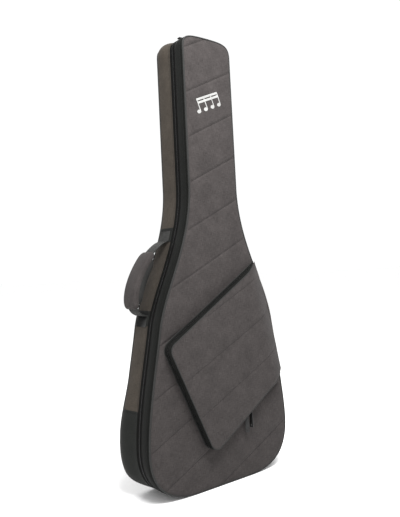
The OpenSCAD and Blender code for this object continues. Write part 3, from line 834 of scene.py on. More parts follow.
@dataclass
class Panel:
    """A padded panel inside a closed edge, with rows of points along a slope."""

    edge: Path
    slope: float
    row: float
    column: float
    face: Shape
    back: float | Shape
    near: tuple[float, ...] = (0, 0.7, 1.6, 2.8, 4.3, 6.2, 8.6, 11.6, 15.2, 20)
    extra: Sequence[float] = ()

    def ends(self, levels: Points) -> Points:
        """Left and right ends of the row at each level."""
        line = self.edge.at(self.edge.steps(1.0 * MM))
        height = line[:, 1] - self.slope * line[:, 0]
        found = []
        for level in levels:
            over = height - level
            cross = np.nonzero(over[:-1] * over[1:] <= 0)[0]
            share = over[cross] / (over[cross] - over[cross + 1] + 1e-12)
            x = line[cross, 0] + share * (line[cross + 1, 0] - line[cross, 0])
            found.append((x.min(), x.max()))
        return np.array(found)

    def build(self) -> bmesh.types.BMesh:
        """The closed panel: its crowned face, its rim and a flat back."""
        line = self.edge.at(self.edge.steps(1.0 * MM))
        height = line[:, 1] - self.slope * line[:, 0]
        low, high = height.min() + 0.25 * MM, height.max() - 0.25 * MM
        close = [d * 0.8 * MM for d in self.near[1:-2]]
        levels = np.linspace(low, high, round((high - low) / self.row) + 1)
        levels = np.concatenate([levels, [low + d for d in close], [high - d for d in close], self.extra])
        levels = np.unique(levels[(levels >= low) & (levels <= high)])
        levels = levels[np.concatenate([[True], np.diff(levels) > 0.3 * MM])]
        ends = self.ends(levels)
        width = (ends[:, 1] - ends[:, 0])[:, None]
        step = np.array(self.near)[None, :] * MM * np.minimum(1.0, width / (4 * self.near[-1] * MM))
        middle = max(4, round(float(width.max()) / self.column))
        inner = np.linspace(0, 1, middle + 2)[1:-1][None, :]
        left = ends[:, :1] + step
        right = ends[:, 1:] - step[:, ::-1]
        across = np.concatenate([left, left[:, -1:] + inner * (right[:, :1] - left[:, -1:]), right], axis=1)
        columns = np.arange(across.shape[1], dtype=float)
        rows = np.arange(len(levels), dtype=float)

        def flat(u: Points, v: Points) -> Points:
            x = across[v.astype(int), u.astype(int)]
            return np.stack([x, levels[v.astype(int)] + self.slope * x], axis=1)

        def place(u: Points, v: Points) -> Points:
            at = flat(u, v)
            return np.stack([at[:, 0], self.face(at[:, 0], at[:, 1], self.edge.away(at)), at[:, 1]], axis=1)

        bm = mapped_grid(columns, rows, place, flat)
        if callable(self.back):
            self.line_with(bm, self.back)
            return bm
        rim = [e for e in bm.edges if e.is_boundary]
        turned = bmesh.ops.extrude_edge_only(bm, edges=rim)
        for v in (g for g in turned["geom"] if isinstance(g, bmesh.types.BMVert)):
            v.co.y = self.back
        close_up(bm)
        return bm

    def line_with(self, bm: bmesh.types.BMesh, depth: Shape) -> None:
        """Closes the panel with a shaped inner side.

        Args:
            bm: the outer side.
            depth: depth of the inner side.
        """
        copied = bmesh.ops.duplicate(bm, geom=bm.verts[:] + bm.edges[:] + bm.faces[:])
        verts = [g for g in copied["geom"] if isinstance(g, bmesh.types.BMVert)]
        at = np.array([(v.co.x, v.co.z) for v in verts])
        for v, y in zip(verts, depth(at[:, 0], at[:, 1], self.edge.away(at))):
            v.co.y = y
        bmesh.ops.bridge_loops(bm, edges=[e for e in bm.edges if e.is_boundary])
        bmesh.ops.recalc_face_normals(bm, faces=bm.faces)


def rolled(edge: Points, width: float) -> Points:
    """A rounded edge: 0 at the seam and 1 past the width."""
    return np.sqrt(np.clip(1 - (1 - np.clip(edge / width, 0, 1)) ** 2, 0, 1))


# ---------------------------------------------------------------- the bag's two halves
@dataclass
class Walls:
    """The padded side wall, its patches and boot, and the rear seam."""

    path: Path = field(default_factory=lambda: OUTLINE.path)
    step: float = 4 * MM
    cloth: float = 1.5
    crown: float = 1.8
    head_swell: float = 4.5
    boot_top: float = 197 * MM
    patch_low: tuple[float, float] = (571 * MM, 382 * MM)
    patch_height: float = 33 * MM
    seam: float = 0.2 * MM

    def section(self, lift: float, low: float = -1.0, high: float = 49.8) -> Callable[[Points], Points]:
        """Section of the wall at each station.

        Args:
            lift: how far a patch lies over the wall, in millimetres.
            low: depth of its front edge, in millimetres.
            high: depth of its rear edge, in millimetres.

        Returns:
            The section, as wall_band takes it.
        """
        def shape(stations: Points) -> Points:
            heights = self.path.at(stations)[:, 1]
            flare = OUTLINE.flare(stations)[:, None] / MM
            swell = (self.crown * smooth(heights / (60 * MM))
                     + self.head_swell * smooth((heights - 980 * MM) / (60 * MM)) + 0.1 * flare[:, 0])
            t = np.array([0, 0.03, 0.08, 0.16, 0.28, 0.4, 0.52, 0.64, 0.76, 0.86, 0.93, 0.97, 1.0])
            y = low + (high - low) * t
            bulge = np.sin(np.pi * t**1.15) ** 0.8
            tuck = -1.0 * np.clip((t - 0.9) / 0.1, 0, 1) ** 2
            hem = 0.35 * np.exp(-(((t - 0.05) / 0.05) ** 2))
            out = lift + hem + tuck + swell[:, None] * bulge[None, :] + flare * smooth(t * 1.1)[None, :]
            inner = np.minimum(out - self.cloth, -0.3)[:, ::-1]
            outer = np.stack([out, np.broadcast_to(y, out.shape)], axis=2)
            back = np.stack([inner, np.broadcast_to(y[::-1], out.shape)], axis=2)
            return np.concatenate([outer, back], axis=1) * MM
        return shape

    def build(self) -> None:
        """Makes the side wall, its patches and boot, their stitching and the rear piping."""
        at = OUTLINE.station
        top, foot = self.patch_low
        cuts = {
            "main_side_wall": (at(self.boot_top, 1), at(top + self.patch_height, -1), HEATHER_SIDE, 0.0),
            "upper_handle_patch": (at(top + self.patch_height, -1), at(top, -1), NYLON, 0.5),
            "handle_side_wall": (at(top, -1), at(foot + self.patch_height, -1), HEATHER_SIDE, 0.0),
            "lower_handle_patch": (at(foot + self.patch_height, -1), at(foot, -1), NYLON, 0.5),
            "lower_side_wall": (at(foot, -1), at(self.boot_top, -1), HEATHER_SIDE, 0.0),
            "base_boot": (at(self.boot_top, -1), at(self.boot_top, 1) + self.path.length, NYLON, 0.6),
        }
        seams = []
        for node, (start, end, finish, lift) in cuts.items():
            under = 1.5 * MM if lift == 0.0 else 0.0
            stations = self.path.steps(self.step, start - under, end + under)
            bm = wall_band(self.path, stations, self.section(lift))
            made = piece(f"{node}_cloth", bm, "shell", finish, [node])
            if lift:
                for s in (start, end):
                    inward = 1 if s == start else -1
                    rows = (2.5, 5.0) if node == "base_boot" else (2.2, 4.4, 6.6)
                    for row in rows:
                        seams += self.cross_seam(s + inward * row * MM, lift)
        seams += self.edge_seam(1.4 * MM, 0.45 * MM)
        sew("wall_stitching", seams, "shell", DARK_THREAD)
        rear = self.cord(REAR - 1.8 * MM, 2.1 * MM, flared=True)
        piece("rear_piping_cord", rear, "shell", WRAP, ["rear_piping"])

    def surface(self, stations: Points, y: float, lift: float) -> Points:
        """Points on the wall's outer face at a depth, for each station."""
        shape = self.section(lift)(stations)
        half = shape.shape[1] // 2
        out = np.array([np.interp(y, row[:half, 1], row[:half, 0]) for row in shape])
        x, z = self.path.at(stations, out).T
        return np.stack([x, np.full(len(x), y), z], axis=1)

    def cross_seam(self, s: float, lift: float) -> list[Matrix]:
        """Stitches across the wall at one station."""
        depths = np.linspace(2 * MM, 46 * MM, 24)
        at = [self.surface(np.array([s]), y, lift)[0] for y in depths]
        nx, nz = self.path.normal(np.array([s]))[0]
        return stitches([(Vector(p), Vector((nx, 0, nz))) for p in at], 3.6 * MM, 0.35 * MM)

    def edge_seam(self, y: float, lift: float) -> list[Matrix]:
        """Stitches along the wall's front hem."""
        stations = self.path.steps(self.step)
        at = self.surface(stations, y, lift)
        normals = self.path.normal(stations)
        seam = [(Vector(p), Vector((n[0], 0, n[1]))) for p, n in zip(at, normals)]
        return stitches(seam, 4.2 * MM, 0.35 * MM)

    def cord(self, y: float, radius: float, flared: bool = False) -> bmesh.types.BMesh:
        """Piping cord around the whole outline.

        Args:
            y: its depth.
            radius: its radius.
            flared: whether it follows the fuller foot of the rear half.

        Returns:
            The closed cord.
        """
        round_one = fixed_section([((c - 1.6 * MM) / MM, (y + d) / MM) for c, d in circle(radius, 12)])

        def section(stations: Points) -> Points:
            shape = round_one(stations)
            if flared:
                shape[:, :, 0] += OUTLINE.flare(stations)[:, None]
            return shape

        return wall_band(self.path, self.path.steps(self.step), section)


@dataclass
class Zip:
    """One zip along a curve: two tapes and two rows of teeth."""

    path: Path
    start: float
    end: float
    pitch: float = 2.0 * MM
    tooth: tuple[float, float, float] = (0.95 * MM, 2.2 * MM, 1.5 * MM)

    def tooth_shape(self) -> bmesh.types.BMesh:
        """One tooth: X along the zip, Y across it and Z outwards."""
        bm = bmesh.new()
        bmesh.ops.create_cube(bm, size=1.0)
        bmesh.ops.scale(bm, verts=bm.verts, vec=self.tooth)
        bmesh.ops.bevel(bm, geom=list(bm.edges), offset=0.22 * MM, segments=1, profile=0.5, affect="EDGES",
                        clamp_overlap=True, material=-1)
        return bm

    def teeth(self, y: Callable[[float], float], side: int,
              out: Callable[[Points], Points]) -> bmesh.types.BMesh:
        """A row of teeth.

        Args:
            y: depth of the zip's middle at a station.
            side: -1 for the front row and 1 for the rear row.
            out: height of the teeth's middle over the curve at each station.

        Returns:
            The row as one mesh.
        """
        count = int((self.end - self.start) / self.pitch)
        stations = self.start + (np.arange(count) + (0.5 if side > 0 else 0.0)) * self.pitch
        at = self.path.at(stations, out(stations))
        normals = self.path.normal(stations)
        places = []
        for s, (x, z), (nx, nz) in zip(stations, at, normals):
            middle = Vector((x, y(s) + side * (self.tooth[1] / 2 - 0.35 * MM), z))
            places.append(stance(middle, Vector((-nz, 0, nx)), Vector((nx, 0, nz))))
        return repeated(self.tooth_shape(), places)


@dataclass
class MainZip:
    """The long zip around the bag, the lid's nylon side and the fold that the lid turns on."""

    fold: tuple[float, float] = (64 * MM, 190 * MM)
    middle: float = -12.75
    gusset: tuple[float, float] = (-49.9, -21.2)

    def build(self) -> None:
        """Makes the tapes, the teeth, the gusset and the fold."""
        path = OUTLINE.path
        start = OUTLINE.station(self.fold[1], 1)
        end = OUTLINE.station(self.fold[0], 1) + path.length
        stations = path.steps(4 * MM, start, end)
        chain = Zip(path, start, end)
        tapes = (("rear", "shell", ((-1.4, -11.4), (-0.5, -11.2), (-0.35, -6), (-0.4, 1.5), (-1.4, 1.5))),
                 ("lid", "lid", ((-1.4, -24), (-0.5, -24), (-0.35, -18), (-0.5, -14.3), (-1.4, -14.1))))
        for word, body, section in tapes:
            bm = wall_band(path, stations, fixed_section(section))
            piece(f"{word}_zip_tape_woven", bm, body, TAPE, [f"{word}_zip_tape"])
        depth = self.middle * MM

        def level(at: Points) -> Points:
            return 0.1 * MM - 0.95 * MM * (1 - smooth(path.at(at)[:, 1] / (4 * MM)))

        for word, body, side in (("rear", "shell", 1), ("lid", "lid", -1)):
            row = chain.teeth(lambda s: depth, side, level)
            piece(f"{word}_zip_teeth_row", row, body, TEETH, [f"{word}_zip_teeth"])
        self.side(path)
        self.hinge(path, end - path.length, start)

    def side(self, path: Path) -> None:
        """The lid's nylon side, with the folded seam before the piping."""
        low, high = self.gusset
        outer = [(-1.2, low), (-0.1, low + 1.8), (0.5, low + 3.6), (-0.9, low + 5.4),
                 (-0.7, low + 6.2), (0.5, low + 8.0), (1.3, -36), (1.5, -31), (1.2, -26),
                 (0.7, -23), (0.5, high - 0.3), (0.1, high)]
        inner = [(-1.3, high), (-1.5, -30), (-1.9, low + 1)]
        made = piece("lid_gusset_cloth", wall_band(path, path.steps(4 * MM), fixed_section(outer + inner)),
                     "lid", SHADED_GUSSET_NYLON, ["lid_gusset"])
        stations = path.steps(4 * MM)
        normals = path.normal(stations)
        rows = []
        for y, out in ((-23.4 * MM, 0.85 * MM), (low * MM + 8.2 * MM, 0.55 * MM)):
            x, z = path.at(stations, out).T
            seam = [(Vector((a, y, b)), Vector((n[0], 0, n[1]))) for a, b, n in zip(x, z, normals)]
            rows += stitches(seam, 4.2 * MM, 0.35 * MM)
        sew("lid_side_stitching", rows, "lid", DARK_THREAD)

    def hinge(self, path: Path, start: float, end: float) -> None:
        """The strip of cloth that joins wall and lid where the zip stops."""
        shape = fixed_section([(-1.6, -23), (-0.3, -23), (0.5, -18), (0.7, -12.75), (0.5, -6),
                               (-0.3, 1), (-1.6, 1), (-1.2, -6), (-1.0, -12.75), (-1.2, -18)])
        bm = wall_band(path, path.steps(3 * MM, start, end), shape)
        made = piece("lid_fold_cloth", bm, None, NYLON, ["lid_fold_tape"])
        z = sum(self.fold) / 2
        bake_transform(made)


@dataclass
class FrontPanel:
    """The lid's quilted front with its piping and the embroidered motif."""

    quilting: Quilting = field(default_factory=Quilting)
    tuck: float = 1.7 * MM
    crown: float = 1.6 * MM
    roll: float = 13 * MM

    def face(self, x: Points, z: Points, edge: Points) -> Points:
        """Depth of the panel's outer face."""
        fade = smooth(edge / (9 * MM))
        field_rise = self.crown * (1 - np.exp(-edge / (50 * MM)))
        wave = 0.35 * MM * ripple(x, z, 34 * MM, 3.0) + 0.14 * MM * ripple(x, z, 9 * MM, 8.0)
        up = self.quilting.relief(x, z) * (0.35 + 0.65 * fade) + field_rise + wave * fade
        return FRONT + self.tuck * (1 - rolled(edge, self.roll)) - np.maximum(up, -1.0 * MM) - 0.3 * MM

    def build(self) -> Skin:
        """Makes the front and returns its surface."""
        edge = OUTLINE.inset(3.0 * MM)
        offsets = [o * MM for o in (-7, -4.6, -3, -1.8, -0.9, 0, 0.9, 1.8, 3, 4.6, 7)]
        rows = [level + o for level in self.quilting.rows() for o in offsets]
        panel = Panel(edge, self.quilting.slope, 3.6 * MM, 4.2 * MM, self.face, FRONT + 1.75 * MM,
                      extra=rows)
        made = piece("front_panel_quilted", panel.build(), "lid", HEATHER, ["front_panel"])
        skin = Skin(made, 1)
        sew("front_stitching", sewn_rows(self.quilting, skin), "lid", SEAM_THREAD)
        piece("front_piping_cord", Walls().cord(FRONT + 1.9 * MM, 2.2 * MM), "lid", WRAP, ["front_piping"])
        self.motif(skin)
        return skin

    def motif(self, skin: Skin) -> None:
        """The run of beamed notes, raised from the cloth as satin stitch."""
        bm = rounded_copy("emblem", 0.25 * MM, 1)
        bmesh.ops.subdivide_edges(bm, edges=[e for e in bm.edges if e.calc_length() > 6 * MM], cuts=3)
        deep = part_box("emblem")[1].y
        for v in bm.verts:
            at, _ = skin.touch(v.co.x, v.co.z, FRONT)
            v.co.y = at.y + (v.co.y - deep) * 1.6 + 0.25 * MM
        piece("emblem_embroidery", bm, "lid", THREAD, ["emblem"])


@dataclass
class BackPanel:
    """The back of the bag, its seams and the plush lining of both halves."""

    quilting: Quilting = field(default_factory=lambda: Quilting(depth=1.0 * MM, pillow=0.9 * MM))

    def face(self, x: Points, z: Points, edge: Points) -> Points:
        """Depth of the back's outer face."""
        fade = smooth(edge / (9 * MM))
        sunk = (self.quilting.pillow - self.quilting.relief(x, z)) * fade
        return REAR - 1.2 * MM * (1 - rolled(edge, 12 * MM)) - np.minimum(sunk, 1.3 * MM)

    def build(self) -> Skin:
        """Makes the back and the linings, and returns the back's surface."""
        stations = OUTLINE.path.steps(2 * MM)[:-1]
        out = OUTLINE.flare(stations) - 3.0 * MM
        edge = Path(np.maximum(OUTLINE.path.at(stations, out), [-np.inf, 0.8 * MM]), closed=True)
        offsets = [o * MM for o in (-5, -3, -1.5, 0, 1.5, 3, 5)]
        rows = [level + o for level in self.quilting.rows() for o in offsets]
        panel = Panel(edge, self.quilting.slope, 4.5 * MM, 5 * MM, self.face, REAR - 1.6 * MM, extra=rows)
        made = piece("back_panel_quilted", panel.build(), "shell", HEATHER_SIDE, ["back_panel"])
        skin = Skin(made, -1)
        sew("back_stitching", sewn_rows(self.quilting, skin), "shell", SEAM_THREAD)
        self.linings()
        return skin

    def linings(self) -> None:
        """Plush inside the lid, the back and the walls."""
        for node, body, inset, side in (("front_lining", "lid", 3.2, -1), ("back_lining", "shell", 12.9, 1)):
            low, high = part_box(node)
            bare, deep = (high.y, low.y) if side < 0 else (low.y, high.y)
            edge = OUTLINE.inset(inset * MM)

            def face(x: Points, z: Points, away: Points, bare: float = bare, side: int = side) -> Points:
                dip = 0.5 * MM * (1 - rolled(away, 8 * MM)) + 0.15 * MM * ripple(x, z, 30 * MM, 5.0) ** 2
                return bare + side * dip

            panel = Panel(edge, 0.0, 12 * MM, 12 * MM, face, deep)
            piece(f"{node}_plush", panel.build(), body, PLUSH, [node])
        path = OUTLINE.path
        stations = path.steps(5 * MM)
        wall = [(-1.7, -11.5), (-1.7, -10.75), (-11.9, -10.75), (-11.9, 40.6), (-12.7, 40.6), (-12.9, 15),
                (-12.8, -9), (-12.3, -11.2), (-11.4, -11.6)]
        made = piece("side_wall_lining_plush", wall_band(path, stations, fixed_section(wall)), "shell", PLUSH,
                     ["side_wall_lining"])
        side = [(-1.75, -47.5), (-1.75, -21.6), (-2.2, -21.3), (-2.7, -22), (-2.6, -40)]
        piece("lid_gusset_lining_plush", wall_band(path, stations, fixed_section(side)), "lid", PLUSH,
              ["lid_gusset_lining"])


# ---------------------------------------------------------------- the pocket
@dataclass
class Pocket:
    """The slanted pocket: its padded face, its nylon sides and its zip."""

    rise: float = math.radians(32.4)
    corner: tuple[float, float] = (-164 * MM, 337 * MM)
    left_lean: float = math.radians(24.5)
    left_length: float = 274 * MM
    fold_lean: float = math.radians(15.6)
    fold_at: tuple[float, float] = (188 * MM, 240 * MM)
    radius: float = 20 * MM
    slope_width: float = 50 * MM
    zip_share: float = 0.5
    bulge: float = 2.6 * MM

    def __post_init__(self) -> None:
        """Works out the pocket's edges."""
        self.up = np.array([math.cos(self.rise), math.sin(self.rise)])
        left = np.array([math.sin(self.left_lean), -math.cos(self.left_lean)])
        self.high = np.array(self.corner)
        self.low = self.high + self.left_length * left
        self.fold_out = np.array([math.cos(self.fold_lean), math.sin(self.fold_lean)])
        self.face_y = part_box("pocket_panel")[0].y
        seam = OUTLINE.path.at(OUTLINE.path.steps(1 * MM, 0, OUTLINE.path.length / 2), 0.8 * MM)
        self.foot, self.head = self.meet(self.low, seam), self.meet(self.high, seam)
        start, end = (int(np.argmin(np.linalg.norm(seam - p, axis=1))) for p in (self.foot, self.head))
        corners = [self.rounded(self.head, self.high, self.low), self.rounded(self.high, self.low, self.foot)]
        sides = np.vstack([[self.head], *corners, [self.foot]])
        self.side = Path(sides, closed=False)
        self.edge = Path(np.vstack([sides, seam[start + 1:end]]), closed=True)

    def meet(self, start: Points, seam: Points) -> Points:
        """Where the line from start along the pocket's rise meets the right seam."""
        off = (seam - start) @ np.array([-self.up[1], self.up[0]])
        i = int(np.nonzero(off[:-1] * off[1:] <= 0)[0][-1])
        t = off[i] / (off[i] - off[i + 1])
        return seam[i] + t * (seam[i + 1] - seam[i])

    def rounded(self, before: Points, at: Points, after: Points) -> Points:
        """The arc that rounds a corner, from its first edge to its second."""
        u, v = ((p - at) / np.linalg.norm(p - at) for p in (before, after))
        half = math.acos(float(u @ v)) / 2
        middle = at + (u + v) / np.linalg.norm(u + v) * self.radius / math.sin(half)
        first, last = (at + w * self.radius / math.tan(half) - middle for w in (u, v))
        turn = math.atan2(first[0] * last[1] - first[1] * last[0], float(first @ last))
        a = np.linspace(0, turn, 15)
        return middle + np.stack([first[0] * np.cos(a) - first[1] * np.sin(a),
                                  first[0] * np.sin(a) + first[1] * np.cos(a)], axis=1)

    def from_fold(self, x: Points, z: Points) -> Points:
        """Distance to the left of the fold."""
        return -((x - self.fold_at[0]) * self.fold_out[0] + (z - self.fold_at[1]) * self.fold_out[1])

    def skin_y(self, x: Points, z: Points) -> Points:
        """Depth of the pocket's face before its padding."""
        u = self.from_fold(x, z)
        start = FRONT - 0.6 * MM
        lift = np.sin(np.clip((u + 17 * MM) / (self.slope_width + 17 * MM), 0, 1) * math.pi / 2) ** 1.05
        return start + (self.face_y + 0.8 * MM - start) * lift

    def face(self, x: Points, z: Points, edge: Points) -> Points:
        """Depth of the padded face's outer side."""
        quilting = Quilting(pillow=0.9 * MM, depth=1.0 * MM)
        fade = smooth(edge / (10 * MM))
        puff = (quilting.relief(x, z) + 1.0 * MM * (1 - np.exp(-edge / (40 * MM)))) * fade
        wave = (0.4 * MM * ripple(x, z, 40 * MM, 12.0) + 0.14 * MM * ripple(x, z, 9 * MM, 21.0)) * fade
        return self.skin_y(x, z) + 1.4 * MM * (1 - rolled(edge, 9 * MM)) - puff - wave

    def build(self, front: Skin) -> None:
        """Makes the pocket on the front panel."""
        self.front = front
        slope = math.tan(self.rise)
        bm = Panel(self.edge, slope, 2.2 * MM, 3.6 * MM, self.face, self.inner(-0.4 * MM)).build()
        made = piece("pocket_face_quilted", bm, None, HEATHER,
                     ["pocket_panel", "pocket_padding", "pocket_side_strip"])
        at, out = np.array(self.fold_at), self.fold_out
        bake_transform(made)
        self.skin = Skin(made, 1)
        self.sides()
        self.sewing()

    def puff(self, s: Points) -> Points:
        """How far the sides swell out at a station, none where the sliders run."""
        corner = float(self.side.run[np.argmin(np.linalg.norm(self.side.knots - self.low, axis=1))])
        return self.bulge * (1 - smooth((s - corner - 14 * MM) / (40 * MM)))

    def base(self, s: Points) -> Points:
        """Depth of the pocket's foot on the front panel at each station."""
        x, z = self.side.at(s).T
        return np.array([min(self.front.touch(a, b, FRONT)[0].y, FRONT - 0.6 * MM) for a, b in zip(x, z)])

    def band(self, low: float, high: float, outer: Sequence[float], thick: float,
             stations: Points) -> bmesh.types.BMesh:
        """A strip of the pocket's side between two shares of its height.

        Args:
            low: share at its edge by the lid.
            high: share at its edge by the face.
            outer: how far its outer side stands off the edge at even steps, in millimetres.
            thick: its thickness, in millimetres.
            stations: distances along the pocket's edge.

        Returns:
            The closed mesh.
        """
        def section(s: Points) -> Points:
            x, z = self.side.at(s).T
            base = self.base(s)
            top = self.skin_y(x, z) + 1.4 * MM
            t = np.linspace(low, high, len(outer))
            y = base[:, None] + (top - base)[:, None] * t[None, :]
            swell = self.puff(s)[:, None] * np.sin(math.pi * (0.12 + 0.8 * t))[None, :]
            out = swell + np.array(outer)[None, :] * MM
            inner = np.stack([out[:, ::-1] - thick * MM, y[:, ::-1]], axis=2)
            return np.concatenate([np.stack([out, y], axis=2), inner], axis=1)
        return wall_band(self.side, stations, section)

    def zip_depth(self, s: float) -> float:
        """Depth of the zip's middle at a station."""
        x, z = self.side.at(np.array([s])).T
        base = self.base(np.array([s]))[0]
        return float(base + (self.skin_y(x, z)[0] + 1.4 * MM - base) * self.zip_share)

    def sides(self) -> None:
        """Nylon sides, zip tapes, teeth and the piping at the face's seam."""
        steps = self.side.steps(2 * MM)
        x, z = self.side.at(steps).T
        deep = steps[(self.skin_y(x, z) < FRONT - 9 * MM) & (self.from_fold(x, z) > 5 * MM)]
        ends = (float(deep[0]), float(deep[-1]))
        whole = self.side.steps(3 * MM, 2 * MM, self.side.length - 2 * MM)
        turning = whole[self.from_fold(*self.side.at(whole).T) > 5 * MM]
        zipped = self.side.steps(3 * MM, *ends)
        fixed = self.band(0.0, 0.40, (0.9, -0.1, 0.1, 0.3, 0.2, -0.1), 1.4, whole)
        moving = self.band(0.60, 1.0, (-0.1, 0.2, 0.3, 0.2, -0.1, -0.5), 1.4, turning)
        piece("pocket_gusset_cloth", fixed, "lid", SHADED_GUSSET_NYLON, ["pocket_gusset"])
        piece("pocket_flap_gusset_cloth", moving, "pocket_flap", SHADED_GUSSET_NYLON, ["pocket_flap_gusset"])
        low = self.band(0.36, 0.475, (-0.5, -0.5, -0.6), 0.8, zipped)
        high = self.band(0.525, 0.64, (-0.6, -0.5, -0.5), 0.8, zipped)
        piece("pocket_zip_tape_woven", low, "lid", TAPE, ["pocket_zip_tape"])
        piece("pocket_flap_zip_tape_woven", high, "pocket_flap", TAPE, ["pocket_flap_zip_tape"])
        chain = Zip(self.side, *ends, pitch=1.6 * MM, tooth=(0.75 * MM, 1.7 * MM, 1.2 * MM))
        for name, body, side in (("pocket", "lid", 1), ("pocket_flap", "pocket_flap", -1)):
            row = chain.teeth(self.zip_depth, side, lambda a: self.puff(a) - 0.2 * MM)
            piece(f"{name}_zip_teeth", row, body, TEETH)
        cords = (("pocket_base_piping", "lid", 0.0, 1.6, 1.2, whole),
                 ("pocket_face_piping", "pocket_flap", 1.0, -0.2, 1.3, turning))
        for name, body, share, out, r, run in cords:
            line = self.side.at(run, out * MM)
            x, z = self.side.at(run).T
            base = self.base(run)
            y = base + (self.skin_y(x, z) + 1.4 * MM - base) * share
            points = np.stack([line[:, 0], y, line[:, 1]], axis=1)
            ring = np.array(circle(r * MM, 10))
            piece(name, ribbon(points, Vector((0, 1, 0)), ring), body, WRAP)
        edge = Path(self.edge.at(self.edge.steps(2 * MM)[:-1], -3 * MM), closed=True)
        slope = math.tan(self.rise)
        bm = Panel(edge, slope, 6 * MM, 6 * MM, self.inner(0.2 * MM), self.inner(1.0 * MM)).build()
        cut = [v for v in bm.verts if self.from_fold(v.co.x, v.co.z) < 16 * MM]
        bmesh.ops.delete(bm, geom=cut, context="VERTS")
        close_up(bm)
        lining = piece("pocket_lining_plush", bm, "pocket_flap", PLUSH, ["pocket_lining"])

    def inner(self, past: float) -> Shape:
        """A surface along the padding's inner side, which thins towards the fold.

        Args:
            past: how far it lies beyond the padding.

        Returns:
            The depth of that surface at x, z and the distance from the edge.
        """
        def depth(x: Points, z: Points, edge: Points) -> Points:
            skin = self.skin_y(x, z)
            return skin + np.clip(0.4 * (FRONT - skin), 0.8 * MM, 5.5 * MM) + past

        return depth

    def sewing(self) -> None:
        """Stitches along the face's quilted rows, kept inside its edge."""
        quilting = Quilting()
        places = []
        inside = self.edge.knots
        for level in quilting.rows():
            line = []
            for x in np.arange(-165 * MM, 172 * MM, 3 * MM):
                z = level + quilting.slope * x
                if self.holds(inside, x, z) and self.edge.away(np.array([[x, z]]))[0] > 6 * MM:
                    line.append(self.skin.touch(x, z, self.face_y))
            if len(line) > 4:
                places += stitches(line, 4.2 * MM, 0.42 * MM)
        sew("pocket_stitching", places, "pocket_flap", SEAM_THREAD)

    def holds(self, edge: Points, x: float, z: float) -> bool:
        """Whether a point lies inside the pocket's edge, left of the fold."""
        a, b = edge[:-1], edge[1:]
        between = (a[:, 1] > z) != (b[:, 1] > z)
        cross = a[:, 0] + (z - a[:, 1]) / (b[:, 1] - a[:, 1] + 1e-12) * (b[:, 0] - a[:, 0])
        return bool(np.sum(between & (x < cross)) % 2) and self.from_fold(x, z) > 14 * MM


# ---------------------------------------------------------------- handle, straps and small parts
def soft_section(width: float, upper: float, lower: float, n: int = 36) -> Points:
    """A stuffed pad's section, centred: rounded, full and thinner towards its edges.

    Args:
        width: its whole width.
        upper: its height above the middle.
        lower: its depth below the middle.
        n: number of points.

    Returns:
        The closed section, (across, up).
    """
    a = np.linspace(0, 2 * math.pi, n, endpoint=False) + math.pi / n
    c, d = np.cos(a), np.sin(a)
    x = width / 2 * np.sign(c) * np.abs(c) ** 0.42
    return np.stack([x, np.where(d > 0, upper, lower) * np.sign(d) * np.abs(d) ** 0.6], axis=1)


def bound_edge(section: Points, side: int, reach: float, proud: float) -> Points:
    """Section of the binding that wraps one edge of a pad.

    Args:
        section: the pad's section.
        side: 1 or -1, the edge in the section's first direction.
        reach: how far the binding comes in over the pad.
        proud: how far it stands off the pad.

    Returns:
        The binding's closed section.
    """
    start = section[:, 0].max() - reach
    keep = section[side * section[:, 0] > start]
    middle = np.array([side * start, 0.0])
    turn = np.arctan2(keep[:, 1], side * (keep[:, 0] - middle[0]))
    keep = keep[np.argsort(turn)]
    out = (keep - middle) / np.linalg.norm(keep - middle, axis=1, keepdims=True)
    return np.vstack([keep + out * proud, (keep - out * 0.6 * MM)[::-1]])


